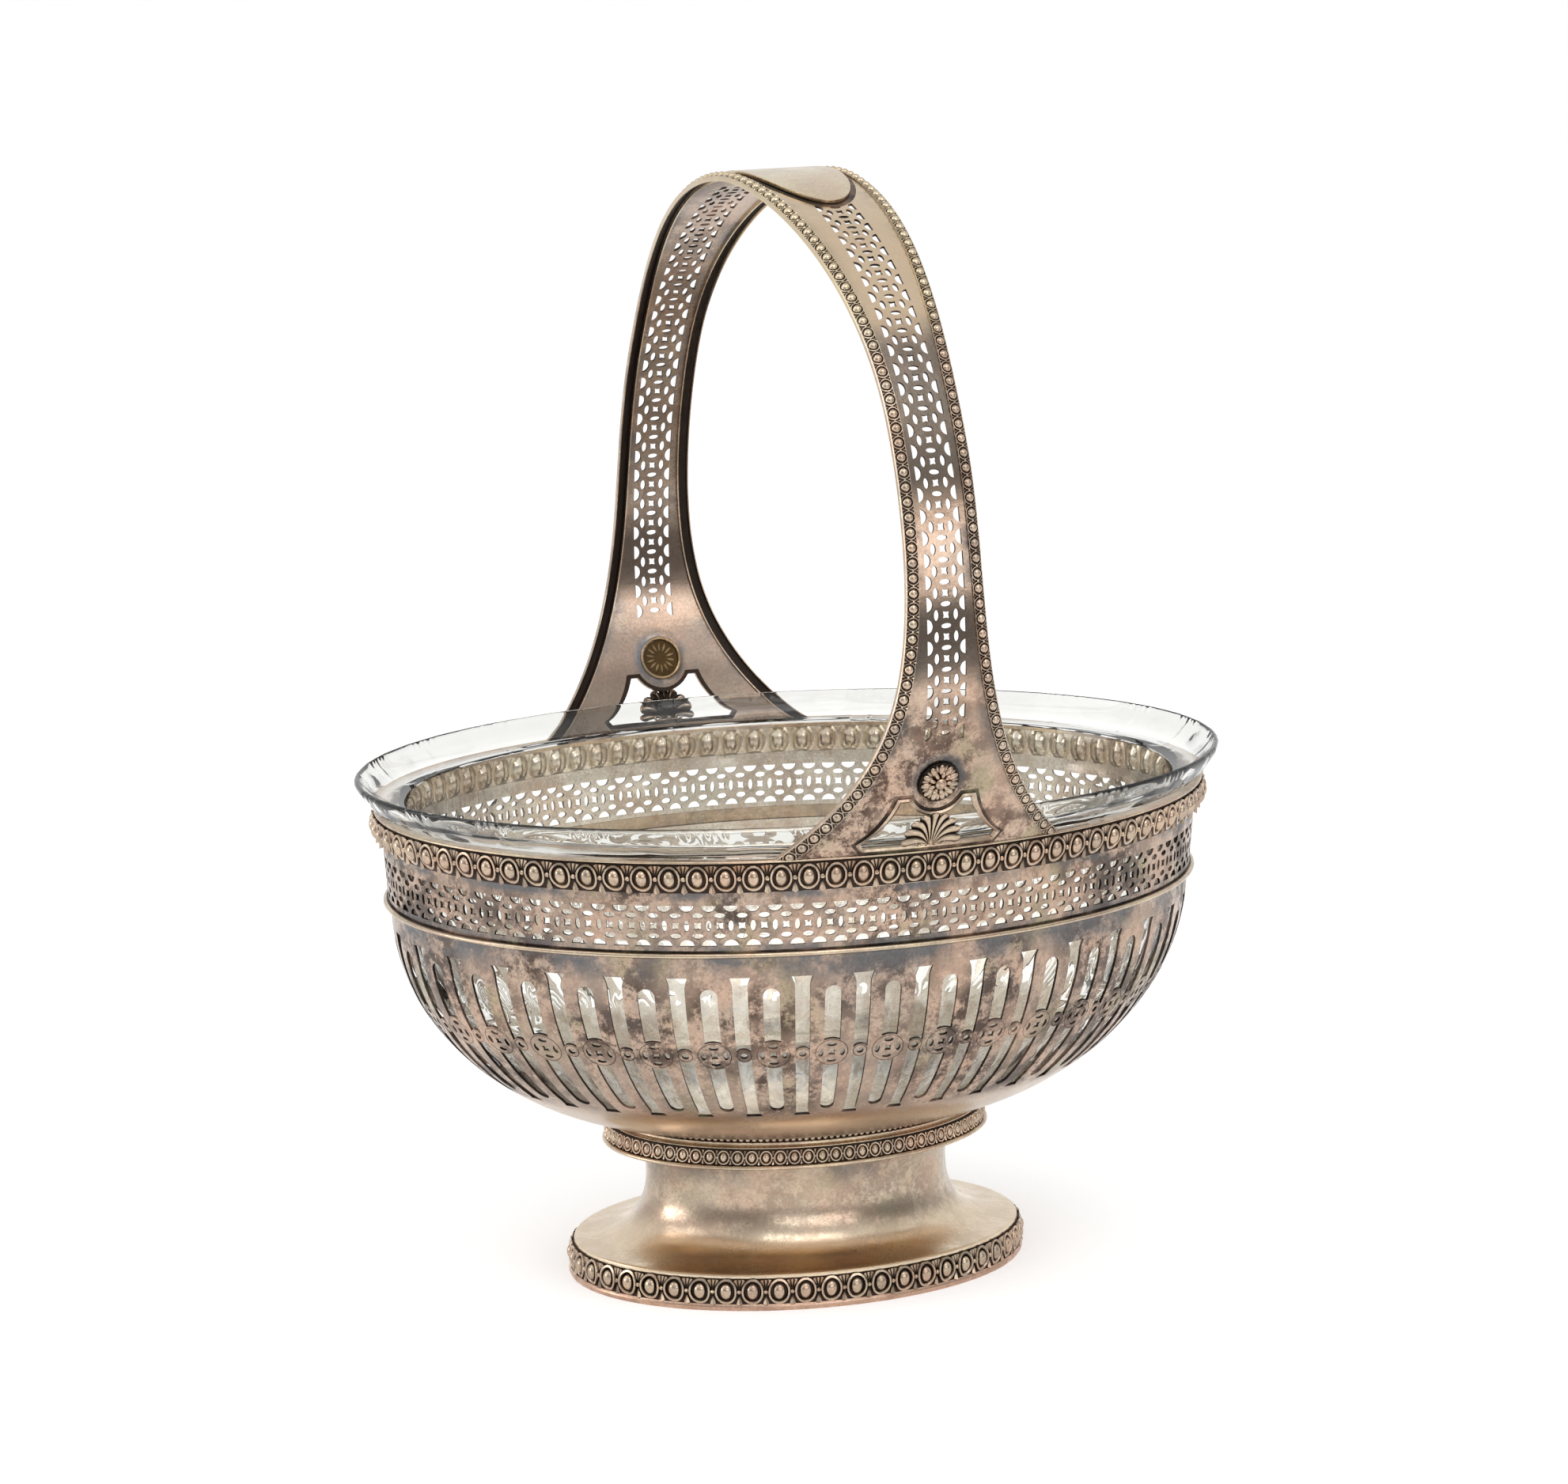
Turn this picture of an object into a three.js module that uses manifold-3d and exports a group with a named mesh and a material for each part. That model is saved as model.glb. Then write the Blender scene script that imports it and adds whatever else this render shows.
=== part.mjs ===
// An oval pierced silver basket on a trumpet foot, with a strap handle and a loose glass liner.
// Millimetres. +Z is up, +X is the basket's long axis, and the handle arches over the short axis.
// The origin is the centre of the foot's underside.

import * as THREE from 'three';
import { mergeVertices } from 'three/addons/utils/BufferGeometryUtils.js';
import Module from 'manifold-3d';

const wasm = await Module();
wasm.setup();

// Driving sizes of the whole basket
const planRatio = 0.766;          // short axis over long axis of every silver oval
const sheet = 1.0;                // thickness of the raised silver sheet
const seatGap = 0.3;              // room left round a piece that is set into another
const roundSteps = 36;            // straight sides that stand for one turn of an oval

// Foot: half lengths are measured along the long axis
const footEdgeHalfLength = 62.3;
const baseWireHeight = 1.8;
const baseWireStep = 1.6;         // base wire's outer edge, out from the foot's edge
const baseWireWidth = 4.2;
const footBandHeight = 6.8;
const footBandBulge = 2.3;
const footFlareHeight = 18.4;
const waistHalfLength = 42.0;
const neckFlare = 2.4;
const neckHeight = 9.0;

// Collar between foot and bowl: each reach is measured out from the bowl's neck
const collarOverhang = 5.6;       // bowl's neck, out from the top of the foot's neck
const collarLipHeight = 1.6;
const collarLipReach = 4.0;
const collarBandHeight = 3.6;
const collarBandReach = 3.0;
const collarStepHeight = 1.8;
const collarStepReach = 0.6;
const pearlWireHeight = 1.6;
const pearlWireReach = -0.8;

// Bowl, shoulder, gallery and rim
const bowlHeight = 58.8;
const bowlHalfLength = 110.4;
const bowlFullness = 1.95;        // higher is rounder at the shoulder
const bowlBelly = 1.7;            // lower is slimmer at the neck
const shoulderHeight = 3.6;
const shoulderBulge = 2.4;
const galleryHeight = 15.3;
const gallerySpread = 1.2;
const rimBandHeight = 7.2;
const rimBandBulge = 4.0;
const rimLipHeight = 1.3;
const rimLipReach = 4.6;          // rim lip's outer edge, out from the bowl's widest place
const rimLipWidth = 4.8;

// Pierced slots of the bowl, in heights down from the bowl's top edge
const slotCount = 76;             // medallion slots and ring slots by turns
const slotShare = 0.52;           // open part of each pitch
const ringSlot = [5.1, 24.8, 28.8, 36.6, 44.4];
const medallionSlot = [8.1, 22.8, 31.0, 37.2, 42.8];

// Handle
const archHeight = 164.2;         // from the rim's top to the top of the arch
const archBelly = 12.37;          // widest place of the arch, out from the feet
const spanHeight = 51.4;          // from the rim's top to the widest place of the arch
const archShoulder = 28.0;
const archFall = 95.0;
const legRise = 20.0;
const legLean = 8.0;
const strapFootInset = 0.6;       // outer face of the strap, in from the rim lip's outer edge
const strapHalfWidth = 10.3;
const strapTopHalfWidth = 17.0;
const wingHalfWidth = 39.6;
const wingHeight = 110.0;         // the legs widen below this height over the rim
const wingPower = 4.45;
const borderWidth = 3.2;
const borderRise = 1.2;
const borderDepth = 1.4;
const handleStations = 50;

// Handle ornaments
const rosetteRadius = 4.3;
const rosetteRise = 2.2;
const rosettePetals = 10;
const rosetteHeight = 18.9;       // centre of the rosette over the rim's top
const openingBottom = 0.7;
const openingShoulder = 15.2;
const openingHalfBase = 20.3;
const openingHalfTop = 10.9;
const rosetteLand = 7.9;          // metal left round the rosette above the opening
const frameWidth = 0.7;
const frameRise = 0.7;
const palmetteReach = 7.6;
const palmetteLobes = 9;
const cartoucheHalfLength = 30.5;
const cartoucheHalfWidth = 12.4;
const cartoucheThickness = 0.9;
const cutDepth = 40.0;            // how far a cutting block reaches through the sheet

// Glass liner
const linerClearance = 1.5;
const linerFloorGap = 2.2;
const glassWall = 2.4;
const glassLipReach = 5.0;        // lip's edge, out from the rim lip at the ends
const glassLipTuck = 0.29;        // lip's edge, in from the rim lip at the sides, clear of the handle
const glassLipRise = 8.5;
const glassSeatInset = 1.8;       // where the glass leaves the rim lip, in from its outer edge

// Half lengths that follow from the sizes above
const baseWireHalfLength = footEdgeHalfLength + baseWireStep;
const bowlNeckHalfLength = waistHalfLength + neckFlare + collarOverhang;
const rimLipHalfLength = bowlHalfLength + rimLipReach;
const glassLipHalfLength = rimLipHalfLength + glassLipReach;
const glassLipHalfWidth = rimLipHalfLength * planRatio - glassLipTuck;
const glassSeatHalfLength = rimLipHalfLength - glassSeatInset;

// Levels that follow from the heights above
const footBandZ = baseWireHeight;
const footShellZ = footBandZ + footBandHeight;
const waistZ = footShellZ + footFlareHeight;
const neckTopZ = waistZ + neckHeight;
const collarBandZ = neckTopZ + collarLipHeight;
const collarStepZ = collarBandZ + collarBandHeight;
const pearlWireZ = collarStepZ + collarStepHeight;
const bowlZ = pearlWireZ + pearlWireHeight;
const shoulderZ = bowlZ + bowlHeight;
const galleryZ = shoulderZ + shoulderHeight;
const rimBandZ = galleryZ + galleryHeight;
const rimLipZ = rimBandZ + rimBandHeight;
const rimTopZ = rimLipZ + rimLipHeight;

const silver = { color: 0xc3b8ab, roughness: 0.3, metalness: 1.0 };
const darkSilver = { color: 0x9a8f86, roughness: 0.42, metalness: 1.0 };
const giltSilver = { color: 0xcdb98f, roughness: 0.28, metalness: 1.0 };
const clearGlass = { color: 0xe8f0ec, roughness: 0.05, metalness: 0.0, transparent: true, opacity: 0.4 };

const basket = new THREE.Group();

// Adds one named piece to the basket
function addPiece(name, geometry, finish) {
  const mesh = new THREE.Mesh(geometry, new THREE.MeshStandardMaterial(finish));
  mesh.name = name;
  basket.add(mesh);
  return mesh;
}

// A geometry with shared corners, no collapsed triangles and its faces pointing out
function closed(geometry) {
  geometry.deleteAttribute('normal');
  geometry.deleteAttribute('uv');
  const merged = mergeVertices(geometry, 1e-4);
  const index = merged.index.array;
  const position = merged.attributes.position;
  const kept = [];
  const a = new THREE.Vector3();
  const b = new THREE.Vector3();
  const c = new THREE.Vector3();
  let volume = 0;
  for (let i = 0; i < index.length; i += 3) {
    const [p, q, r] = [index[i], index[i + 1], index[i + 2]];
    if (p !== q && q !== r && r !== p) {
      kept.push(p, q, r);
      a.fromBufferAttribute(position, p);
      b.fromBufferAttribute(position, q);
      c.fromBufferAttribute(position, r);
      volume += a.dot(b.cross(c));
    }
  }
  if (volume < 0) {
    for (let i = 0; i < kept.length; i += 3) {
      [kept[i], kept[i + 1]] = [kept[i + 1], kept[i]];
    }
  }
  merged.setIndex(kept);
  return merged;
}

// A closed geometry as a solid that can be joined and cut
function toSolid(geometry) {
  const ready = closed(geometry);
  return new wasm.Manifold(new wasm.Mesh({
    numProp: 3,
    vertProperties: new Float32Array(ready.attributes.position.array),
    triVerts: new Uint32Array(ready.index.array),
  }));
}

// A solid back as a closed geometry
function toGeometry(solid) {
  const mesh = solid.getMesh();
  const geometry = new THREE.BufferGeometry();
  geometry.setAttribute('position', new THREE.BufferAttribute(new Float32Array(mesh.vertProperties), 3));
  geometry.setIndex([...mesh.triVerts]);
  return closed(geometry);
}

// A ring or bowl of oval plan. Each corner of the profile is half length, height and, where it
// differs from the basket's own oval, half width.
function oval(profile, steps = roundSteps) {
  const corners = profile.map(([halfLength, z]) => new THREE.Vector2(halfLength, z));
  const geometry = new THREE.LatheGeometry(corners, steps);
  const position = geometry.attributes.position;
  for (let i = 0; i < position.count; i += 1) {
    const [halfLength, z, halfWidth] = profile[i % profile.length];
    const ratio = halfWidth === undefined || halfLength === 0 ? planRatio : halfWidth / halfLength;
    position.setXYZ(i, position.getX(i), position.getZ(i) * ratio, z);
  }
  return closed(geometry);
}

// The corners of a drawn path, closed on its first corner
function pathCorners(path, divisions) {
  const corners = path.getPoints(divisions).map((point) => [point.x, point.y]);
  corners.push(corners[0]);
  return corners;
}

// A stamped band: a shell that swells outwards between two levels
function bulgedBand(bottomZ, height, inner, bottomOuter, topOuter, bulge) {
  const path = new THREE.Path();
  const topZ = bottomZ + height;
  path.moveTo(bottomOuter, bottomZ);
  path.bezierCurveTo(
    bottomOuter + bulge * 1.33, bottomZ + height * 0.2,
    topOuter + bulge * 1.33, topZ - height * 0.2,
    topOuter, topZ,
  );
  path.lineTo(inner, topZ);
  path.lineTo(inner, bottomZ);
  return pathCorners(path, 4);
}

// A thin sheet given by the corners of its outer and inner faces, in rows. A cell for which
// isOpen answers true is a hole through the sheet.
function sheetSolid(outer, inner, isRound, isOpen = () => false) {
  const rows = outer.length;
  const columns = outer[0].length;
  const cellColumns = isRound ? columns : columns - 1;
  const positions = [];
  const isSolid = (r, c) => {
    const column = isRound ? (c + columns) % columns : c;
    return r >= 0 && r < rows - 1 && column >= 0 && column < cellColumns && !isOpen(r, column);
  };
  const face = (a, b, c, d) => {
    [a, b, c, a, c, d].forEach((corner) => positions.push(corner.x, corner.y, corner.z));
  };
  for (let r = 0; r < rows - 1; r += 1) {
    for (let c = 0; c < cellColumns; c += 1) {
      if (isSolid(r, c)) {
        const right = (c + 1) % columns;
        const loop = [[r, c], [r, right], [r + 1, right], [r + 1, c]];
        const front = loop.map(([i, j]) => outer[i][j]);
        const back = loop.map(([i, j]) => inner[i][j]);
        face(...front);
        face(back[3], back[2], back[1], back[0]);
        const beside = [[r - 1, c], [r, c + 1], [r + 1, c], [r, c - 1]];
        beside.forEach(([i, j], side) => {
          if (!isSolid(i, j)) {
            const next = (side + 1) % 4;
            face(front[next], front[side], back[side], back[next]);
          }
        });
      }
    }
  }
  const geometry = new THREE.BufferGeometry();
  geometry.setAttribute('position', new THREE.Float32BufferAttribute(positions, 3));
  return closed(geometry);
}

// Angles that step evenly along the outline of the basket's oval, from its +X end
function evenAngles(count, shift) {
  const fine = 1440;
  const lengths = [0];
  for (let i = 1; i <= fine; i += 1) {
    const angle = ((i - 0.5) / fine) * 2 * Math.PI;
    lengths.push(lengths[i - 1] + Math.hypot(Math.sin(angle), planRatio * Math.cos(angle)));
  }
  const angles = [];
  let i = 0;
  for (let k = 0; k < count; k += 1) {
    const wanted = ((k + shift) / count) * lengths[fine];
    while (lengths[i + 1] < wanted) {
      i += 1;
    }
    const part = (wanted - lengths[i]) / (lengths[i + 1] - lengths[i]);
    angles.push(((i + part) / fine) * 2 * Math.PI);
  }
  return angles;
}

// Half length of the bowl's outer face at a height
function bowlHalfLengthAt(z) {
  const rise = Math.min(Math.max((z - bowlZ) / bowlHeight, 0), 1);
  const swell = (1 - (1 - rise) ** bowlFullness) ** (1 / bowlBelly);
  return bowlNeckHalfLength + (bowlHalfLength - bowlNeckHalfLength) * swell;
}

// Foot
function makeFoot() {
  const wire = new THREE.Path();
  const innerWire = baseWireHalfLength - baseWireWidth;
  wire.moveTo(innerWire, 0);
  wire.lineTo(baseWireHalfLength - 0.6, 0);
  wire.quadraticCurveTo(baseWireHalfLength + 0.6, baseWireHeight / 2, baseWireHalfLength - 0.6, baseWireHeight);
  wire.lineTo(innerWire, baseWireHeight);
  addPiece('foot_base_wire', oval(pathCorners(wire, 2)), silver);

  const bandInner = footEdgeHalfLength - 2.6;
  const band = bulgedBand(footBandZ, footBandHeight, bandInner, footEdgeHalfLength + 0.5,
    footEdgeHalfLength - 0.3, footBandBulge);
  addPiece('foot_egg_band', oval(band), darkSilver);

  const neckTop = waistHalfLength + neckFlare;
  const trumpet = new THREE.Path();
  trumpet.moveTo(footEdgeHalfLength, footShellZ);
  trumpet.lineTo(footEdgeHalfLength, footShellZ + sheet);
  trumpet.quadraticCurveTo(waistHalfLength, footShellZ + sheet, waistHalfLength, waistZ);
  trumpet.quadraticCurveTo(waistHalfLength, (waistZ + neckTopZ) / 2, neckTop, neckTopZ);
  trumpet.lineTo(neckTop - sheet, neckTopZ);
  trumpet.quadraticCurveTo(waistHalfLength - sheet, (waistZ + neckTopZ) / 2, waistHalfLength - sheet, waistZ);
  trumpet.quadraticCurveTo(waistHalfLength - sheet, footShellZ, footEdgeHalfLength - sheet, footShellZ);
  addPiece('foot_shell', oval(pathCorners(trumpet, 4)), silver);
}

// Collar
function makeCollar() {
  const lipInner = waistHalfLength + neckFlare - sheet;
  const lipOuter = bowlNeckHalfLength + collarLipReach;
  const lip = new THREE.Path();
  lip.moveTo(lipInner, neckTopZ);
  lip.lineTo(lipOuter - 2.0, neckTopZ);
  lip.quadraticCurveTo(lipOuter, neckTopZ, lipOuter, collarBandZ);
  lip.lineTo(lipInner, collarBandZ);
  addPiece('collar_lip', oval(pathCorners(lip, 3)), silver);

  const bandInner = bowlNeckHalfLength - collarBandHeight;
  const bandOuter = bowlNeckHalfLength + collarBandReach;
  const band = bulgedBand(collarBandZ, collarBandHeight, bandInner, bandOuter, bandOuter - 0.6, 1.4);
  addPiece('collar_egg_band', oval(band), darkSilver);

  const stepOuter = bowlNeckHalfLength + collarStepReach;
  const step = new THREE.Path();
  step.moveTo(bandInner, collarStepZ);
  step.lineTo(stepOuter + 1.0, collarStepZ);
  step.quadraticCurveTo(stepOuter - 0.8, collarStepZ + 0.4, stepOuter, pearlWireZ);
  step.lineTo(bandInner, pearlWireZ);
  addPiece('collar_step', oval(pathCorners(step, 3)), silver);

  const pearlOuter = bowlNeckHalfLength + pearlWireReach;
  const pearl = bulgedBand(pearlWireZ, pearlWireHeight, bandInner, pearlOuter, pearlOuter, 1.0);
  addPiece('collar_pearl_wire', oval(pearl), darkSilver);
}

// Bowl: bars and slots by turns, a ring slot at the front and back, a medallion slot at each end
function makeBowl() {
  const pitch = 1 / slotCount;
  const centres = evenAngles(slotCount, 0);
  const halfSlot = (slotShare / 2) * pitch * 2 * Math.PI;
  const lines = centres.flatMap((centre, slot) => {
    const drops = slot % 2 === 0 ? medallionSlot : ringSlot;
    return [centre - halfSlot, centre + halfSlot].map((angle) => ({ angle, drops }));
  });
  const outlineAt = (level, drops) => {
    const lowest = bowlHeight - drops[drops.length - 1];
    const heights = [0, 0, lowest * 0.3, ...[...drops].reverse().map((drop) => bowlHeight - drop), bowlHeight];
    const z = bowlZ + heights[level];
    const halfLength = level === 0 ? 0 : bowlHalfLengthAt(z);
    return [halfLength, z];
  };
  const levels = ringSlot.length + 4;
  const outer = [];
  const inner = [];
  for (let level = 0; level < levels; level += 1) {
    outer.push([]);
    inner.push([]);
    lines.forEach(({ angle, drops }) => {
      const [halfLength, z] = outlineAt(level, drops);
      const place = (length, height) => new THREE.Vector3(
        length * Math.cos(angle), length * planRatio * Math.sin(angle), height);
      outer[level].push(place(halfLength, z));
      const isFloor = level <= 1;
      const isTop = level === levels - 1;
      const above = bowlHalfLengthAt(z + 0.5);
      const below = bowlHalfLengthAt(z - 0.5);
      const lean = isTop ? 0 : Math.atan2(above - below, 1);
      const inset = isFloor ? Math.min(halfLength, sheet / 2) : sheet * Math.cos(lean);
      const lift = isFloor ? sheet : sheet * Math.sin(lean);
      inner[level].push(place(halfLength - inset, z + lift));
    });
  }
  const slotLevels = [3, 4, 6];
  const isOpen = (row, column) => slotLevels.includes(row) && column % 2 === 0;
  addPiece('bowl_shell', sheetSolid(outer, inner, true, isOpen), silver);
}

// Shoulder wire, gallery, egg band and lip
function makeRim() {
  const galleryOuter = bowlHalfLength + 0.8;
  const galleryInner = galleryOuter - sheet;
  const shoulder = bulgedBand(shoulderZ, shoulderHeight, galleryInner, galleryOuter, galleryOuter, shoulderBulge);
  addPiece('shoulder_wire', oval(shoulder), silver);

  const topOuter = galleryOuter + gallerySpread;
  const gallery = [
    [galleryOuter, galleryZ],
    [topOuter, rimBandZ],
    [topOuter - sheet, rimBandZ],
    [galleryInner, galleryZ],
    [galleryOuter, galleryZ],
  ];
  addPiece('gallery_band', oval(gallery), silver);

  const bandOuterTop = rimLipHalfLength - 0.6;
  const bandInner = rimLipHalfLength - rimLipWidth;
  const band = bulgedBand(rimBandZ, rimBandHeight, bandInner, topOuter + 0.3, bandOuterTop, rimBandBulge * 0.7);
  addPiece('rim_egg_band', oval(band), darkSilver);

  const lip = new THREE.Path();
  lip.moveTo(bandInner, rimLipZ);
  lip.lineTo(rimLipHalfLength - 0.4, rimLipZ);
  lip.quadraticCurveTo(rimLipHalfLength + 0.4, (rimLipZ + rimTopZ) / 2, rimLipHalfLength - 0.2, rimTopZ);
  lip.lineTo(bandInner, rimTopZ);
  addPiece('rim_lip', oval(pathCorners(lip, 2)), silver);
}

// Centreline of one half of the handle, in distance from the middle and height
const strapFootY = (rimLipHalfLength - strapFootInset) * planRatio;
const archHalfSpan = strapFootY + archBelly;
const spanZ = rimTopZ + spanHeight;
const archTopZ = rimTopZ + archHeight;
const halfArch = new THREE.CurvePath();
halfArch.add(new THREE.CubicBezierCurve(
  new THREE.Vector2(0, archTopZ),
  new THREE.Vector2(archShoulder, archTopZ),
  new THREE.Vector2(archHalfSpan, spanZ + archFall),
  new THREE.Vector2(archHalfSpan, spanZ),
));
halfArch.add(new THREE.CubicBezierCurve(
  new THREE.Vector2(archHalfSpan, spanZ),
  new THREE.Vector2(archHalfSpan, spanZ - legRise),
  new THREE.Vector2(strapFootY + legLean, rimTopZ + legRise),
  new THREE.Vector2(strapFootY, rimTopZ),
));
const halfArchLength = halfArch.getLength();
const archFoot = halfArch.getPoint(1);
const archFootRun = new THREE.Vector2(strapFootY, rimTopZ).sub(halfArch.getPoint(0.99)).normalize();

// A place on the handle's centreline, by its distance along the strap from the top
function archAt(along) {
  const distance = Math.abs(along);
  const place = distance <= halfArchLength
    ? halfArch.getPoint(distance / halfArchLength)
    : archFoot.clone().addScaledVector(archFootRun, distance - halfArchLength);
  return { y: Math.sign(along) * place.x, z: place.y };
}

// Half the width of the strap, borders and all
function strapHalfWidthAt(along) {
  const { z } = archAt(along);
  const flareZ = rimTopZ + wingHeight;
  const down = Math.max((flareZ - z) / wingHeight, 0);
  const up = Math.max((z - flareZ) / (archTopZ - flareZ), 0);
  return strapHalfWidth + (wingHalfWidth - strapHalfWidth) * down ** wingPower
    + (strapTopHalfWidth - strapHalfWidth) * up ** 2;
}

// A place on the handle: across the strap, along it, and out from its outer face. The legs curve
// to follow the rim's oval as they come down to it.
function strapPlace(across, along, out = 0) {
  const surface = (x, s) => {
    const { y, z } = archAt(s);
    const down = THREE.MathUtils.smoothstep(spanZ - z, 0, spanHeight);
    const oval = rimLipHalfLength * planRatio * (1 - Math.sqrt(1 - (x / rimLipHalfLength) ** 2));
    return new THREE.Vector3(x, y - Math.sign(s) * oval * down, z);
  };
  const place = surface(across, along);
  if (out !== 0) {
    const step = 0.05;
    const acrossRun = surface(across + step, along).sub(surface(across - step, along));
    const alongRun = surface(across, along + step).sub(surface(across, along - step));
    place.addScaledVector(acrossRun.cross(alongRun).normalize(), out);
  }
  return place;
}

// Distances along the strap, from the front foot to the back one, closer together on the legs
const stations = Array.from({ length: handleStations + 1 }, (_, i) => {
  const share = (i / handleStations) * 2 - 1;
  return halfArchLength * share * (1.18 - 0.18 * share * share);
});

// The edge of the strap moved in by a distance, as across and along at each station
function edgeLine(inset) {
  return stations.map((along) => {
    const step = 0.2;
    const slope = (strapHalfWidthAt(along + step) - strapHalfWidthAt(along - step)) / (2 * step);
    const scale = inset / Math.hypot(1, slope);
    return { across: strapHalfWidthAt(along) - scale, along: along + slope * scale };
  });
}

// Everything below the rim's top, which the handle's feet are cut off by
function belowRim() {
  const reach = 4 * rimLipHalfLength;
  const box = new THREE.BoxGeometry(reach, reach, cutDepth);
  box.translate(0, 0, rimTopZ - cutDepth / 2);
  return toSolid(box);
}

// A block with a drawn outline that stands through the front wing, from in front of it to inside
function wingBlock(outline) {
  const block = new THREE.ExtrudeGeometry(new THREE.Shape(outline), { depth: cutDepth, bevelEnabled: false });
  block.rotateX(Math.PI / 2);
  block.translate(0, -strapFootY + cutDepth / 2, rimTopZ);
  return block;
}

// The same piece on the back wing: turned half a turn about the upright axis
function turnedRound(geometry) {
  const turned = geometry.clone();
  const position = turned.attributes.position;
  for (let i = 0; i < position.count; i += 1) {
    position.setXY(i, -position.getX(i), -position.getY(i));
  }
  return turned;
}

// A stretch of the handle's sheet between two faces, for pieces that follow its curve
function strapPatch(halfWidth, from, to, rows, columns, low, high) {
  const faceAt = (out) => Array.from({ length: rows + 1 }, (_, r) => {
    const along = from + ((to - from) * r) / rows;
    return Array.from({ length: columns + 1 }, (__, c) => {
      const across = ((c / columns) * 2 - 1) * halfWidth;
      return strapPlace(across, along, out);
    });
  });
  return toSolid(sheetSolid(faceAt(high), faceAt(low), false));
}

// An outline moved in by a distance, each corner along the middle of its two sides' normals
function insetOutline(corners, inset) {
  return corners.map((corner, i) => {
    const before = corners[(i + corners.length - 1) % corners.length];
    const after = corners[(i + 1) % corners.length];
    const first = new THREE.Vector2(before.y - corner.y, corner.x - before.x).normalize();
    const second = new THREE.Vector2(corner.y - after.y, after.x - corner.x).normalize();
    const middle = first.clone().add(second);
    return corner.clone().addScaledVector(middle, inset / (1 + first.dot(second)));
  });
}

// Outline of the opening in a wing, over the rim's top: a flat base with pointed corners, hollow
// sides, two short flats and a round bite below the rosette
function openingOutline() {
  const biteHalf = Math.sqrt(rosetteLand ** 2 - (rosetteHeight - openingShoulder) ** 2);
  const start = Math.atan2(openingShoulder - rosetteHeight, biteHalf);
  const cornerRise = openingBottom + 2.4;
  const hollow = [openingHalfTop + 2.4, openingBottom + 6.5];
  const shape = new THREE.Path();
  shape.moveTo(-openingHalfBase + 1.8, openingBottom);
  shape.lineTo(openingHalfBase - 1.8, openingBottom);
  shape.lineTo(openingHalfBase, cornerRise);
  shape.quadraticCurveTo(hollow[0], hollow[1], openingHalfTop, openingShoulder);
  shape.lineTo(biteHalf, openingShoulder);
  shape.absarc(0, rosetteHeight, rosetteLand, start, -Math.PI - start, true);
  shape.lineTo(-openingHalfTop, openingShoulder);
  shape.quadraticCurveTo(-hollow[0], hollow[1], -openingHalfBase, cornerRise);
  const corners = shape.getPoints(4);
  return corners.filter((corner, i) => i === 0 || corner.distanceTo(corners[i - 1]) > 0.01);
}

// Where the rosette sits on the front wing, and the way it faces
const rosetteAlong = -halfArchLength + rosetteHeight * 1.06;
const rosettePlace = strapPlace(0, rosetteAlong);
const rosetteFacing = strapPlace(0, rosetteAlong, 1).sub(rosettePlace);

// Turns a geometry that faces +Z to stand on the front wing at the rosette's place
function atRosette(geometry) {
  const turn = new THREE.Quaternion().setFromUnitVectors(new THREE.Vector3(0, 0, 1), rosetteFacing);
  geometry.applyQuaternion(turn);
  geometry.translate(rosettePlace.x, rosettePlace.y, rosettePlace.z);
  return geometry;
}

function makeStrap() {
  const edge = edgeLine(borderWidth + seatGap);
  const columns = 4;
  const faceAt = (out) => edge.map(({ across, along }) => (
    Array.from({ length: columns + 1 }, (_, c) => strapPlace(((c / columns) * 2 - 1) * across, along, out))
  ));
  let strap = toSolid(sheetSolid(faceAt(0), faceAt(-sheet), false)).subtract(belowRim());
  const holeRadius = rosetteRadius + 0.3 + seatGap;
  const hole = new THREE.CylinderGeometry(holeRadius, holeRadius, 3 * rosetteRadius, 20);
  hole.rotateX(Math.PI / 2);
  const cuts = [atRosette(hole), wingBlock(openingOutline())];
  cuts.forEach((cut) => {
    const front = closed(cut);
    strap = strap.subtract(toSolid(front)).subtract(toSolid(turnedRound(front)));
  });
  addPiece('handle_strap', toGeometry(strap), silver);
}

// Egg-and-dart wire along one edge of the strap, with a rounded back
function makeBorders() {
  const section = [
    [0, -borderDepth],
    [0, 0.3],
    [0.7, borderRise],
    [borderWidth - 0.7, borderRise],
    [borderWidth, 0.3],
    [borderWidth, -borderDepth],
  ];
  const rings = section.map(([inset, out]) => edgeLine(inset).map(({ across, along }) => ({ across, along, out })));
  [['handle_border_left', -1], ['handle_border_right', 1]].forEach(([name, side]) => {
    const loops = stations.map((_, i) => rings.map((ring) => (
      strapPlace(side * ring[i].across, ring[i].along, ring[i].out)
    )));
    const positions = [];
    const face = (a, b, c) => [a, b, c].forEach((corner) => positions.push(corner.x, corner.y, corner.z));
    for (let i = 0; i < loops.length - 1; i += 1) {
      for (let j = 0; j < section.length; j += 1) {
        const next = (j + 1) % section.length;
        face(loops[i][j], loops[i + 1][j], loops[i + 1][next]);
        face(loops[i][j], loops[i + 1][next], loops[i][next]);
      }
    }
    const last = loops[loops.length - 1];
    for (let j = 1; j < section.length - 1; j += 1) {
      face(loops[0][0], loops[0][j], loops[0][j + 1]);
      face(last[0], last[j + 1], last[j]);
    }
    const geometry = new THREE.BufferGeometry();
    geometry.setAttribute('position', new THREE.Float32BufferAttribute(positions, 3));
    addPiece(name, toGeometry(toSolid(geometry).subtract(belowRim())), darkSilver);
  });
}

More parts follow.
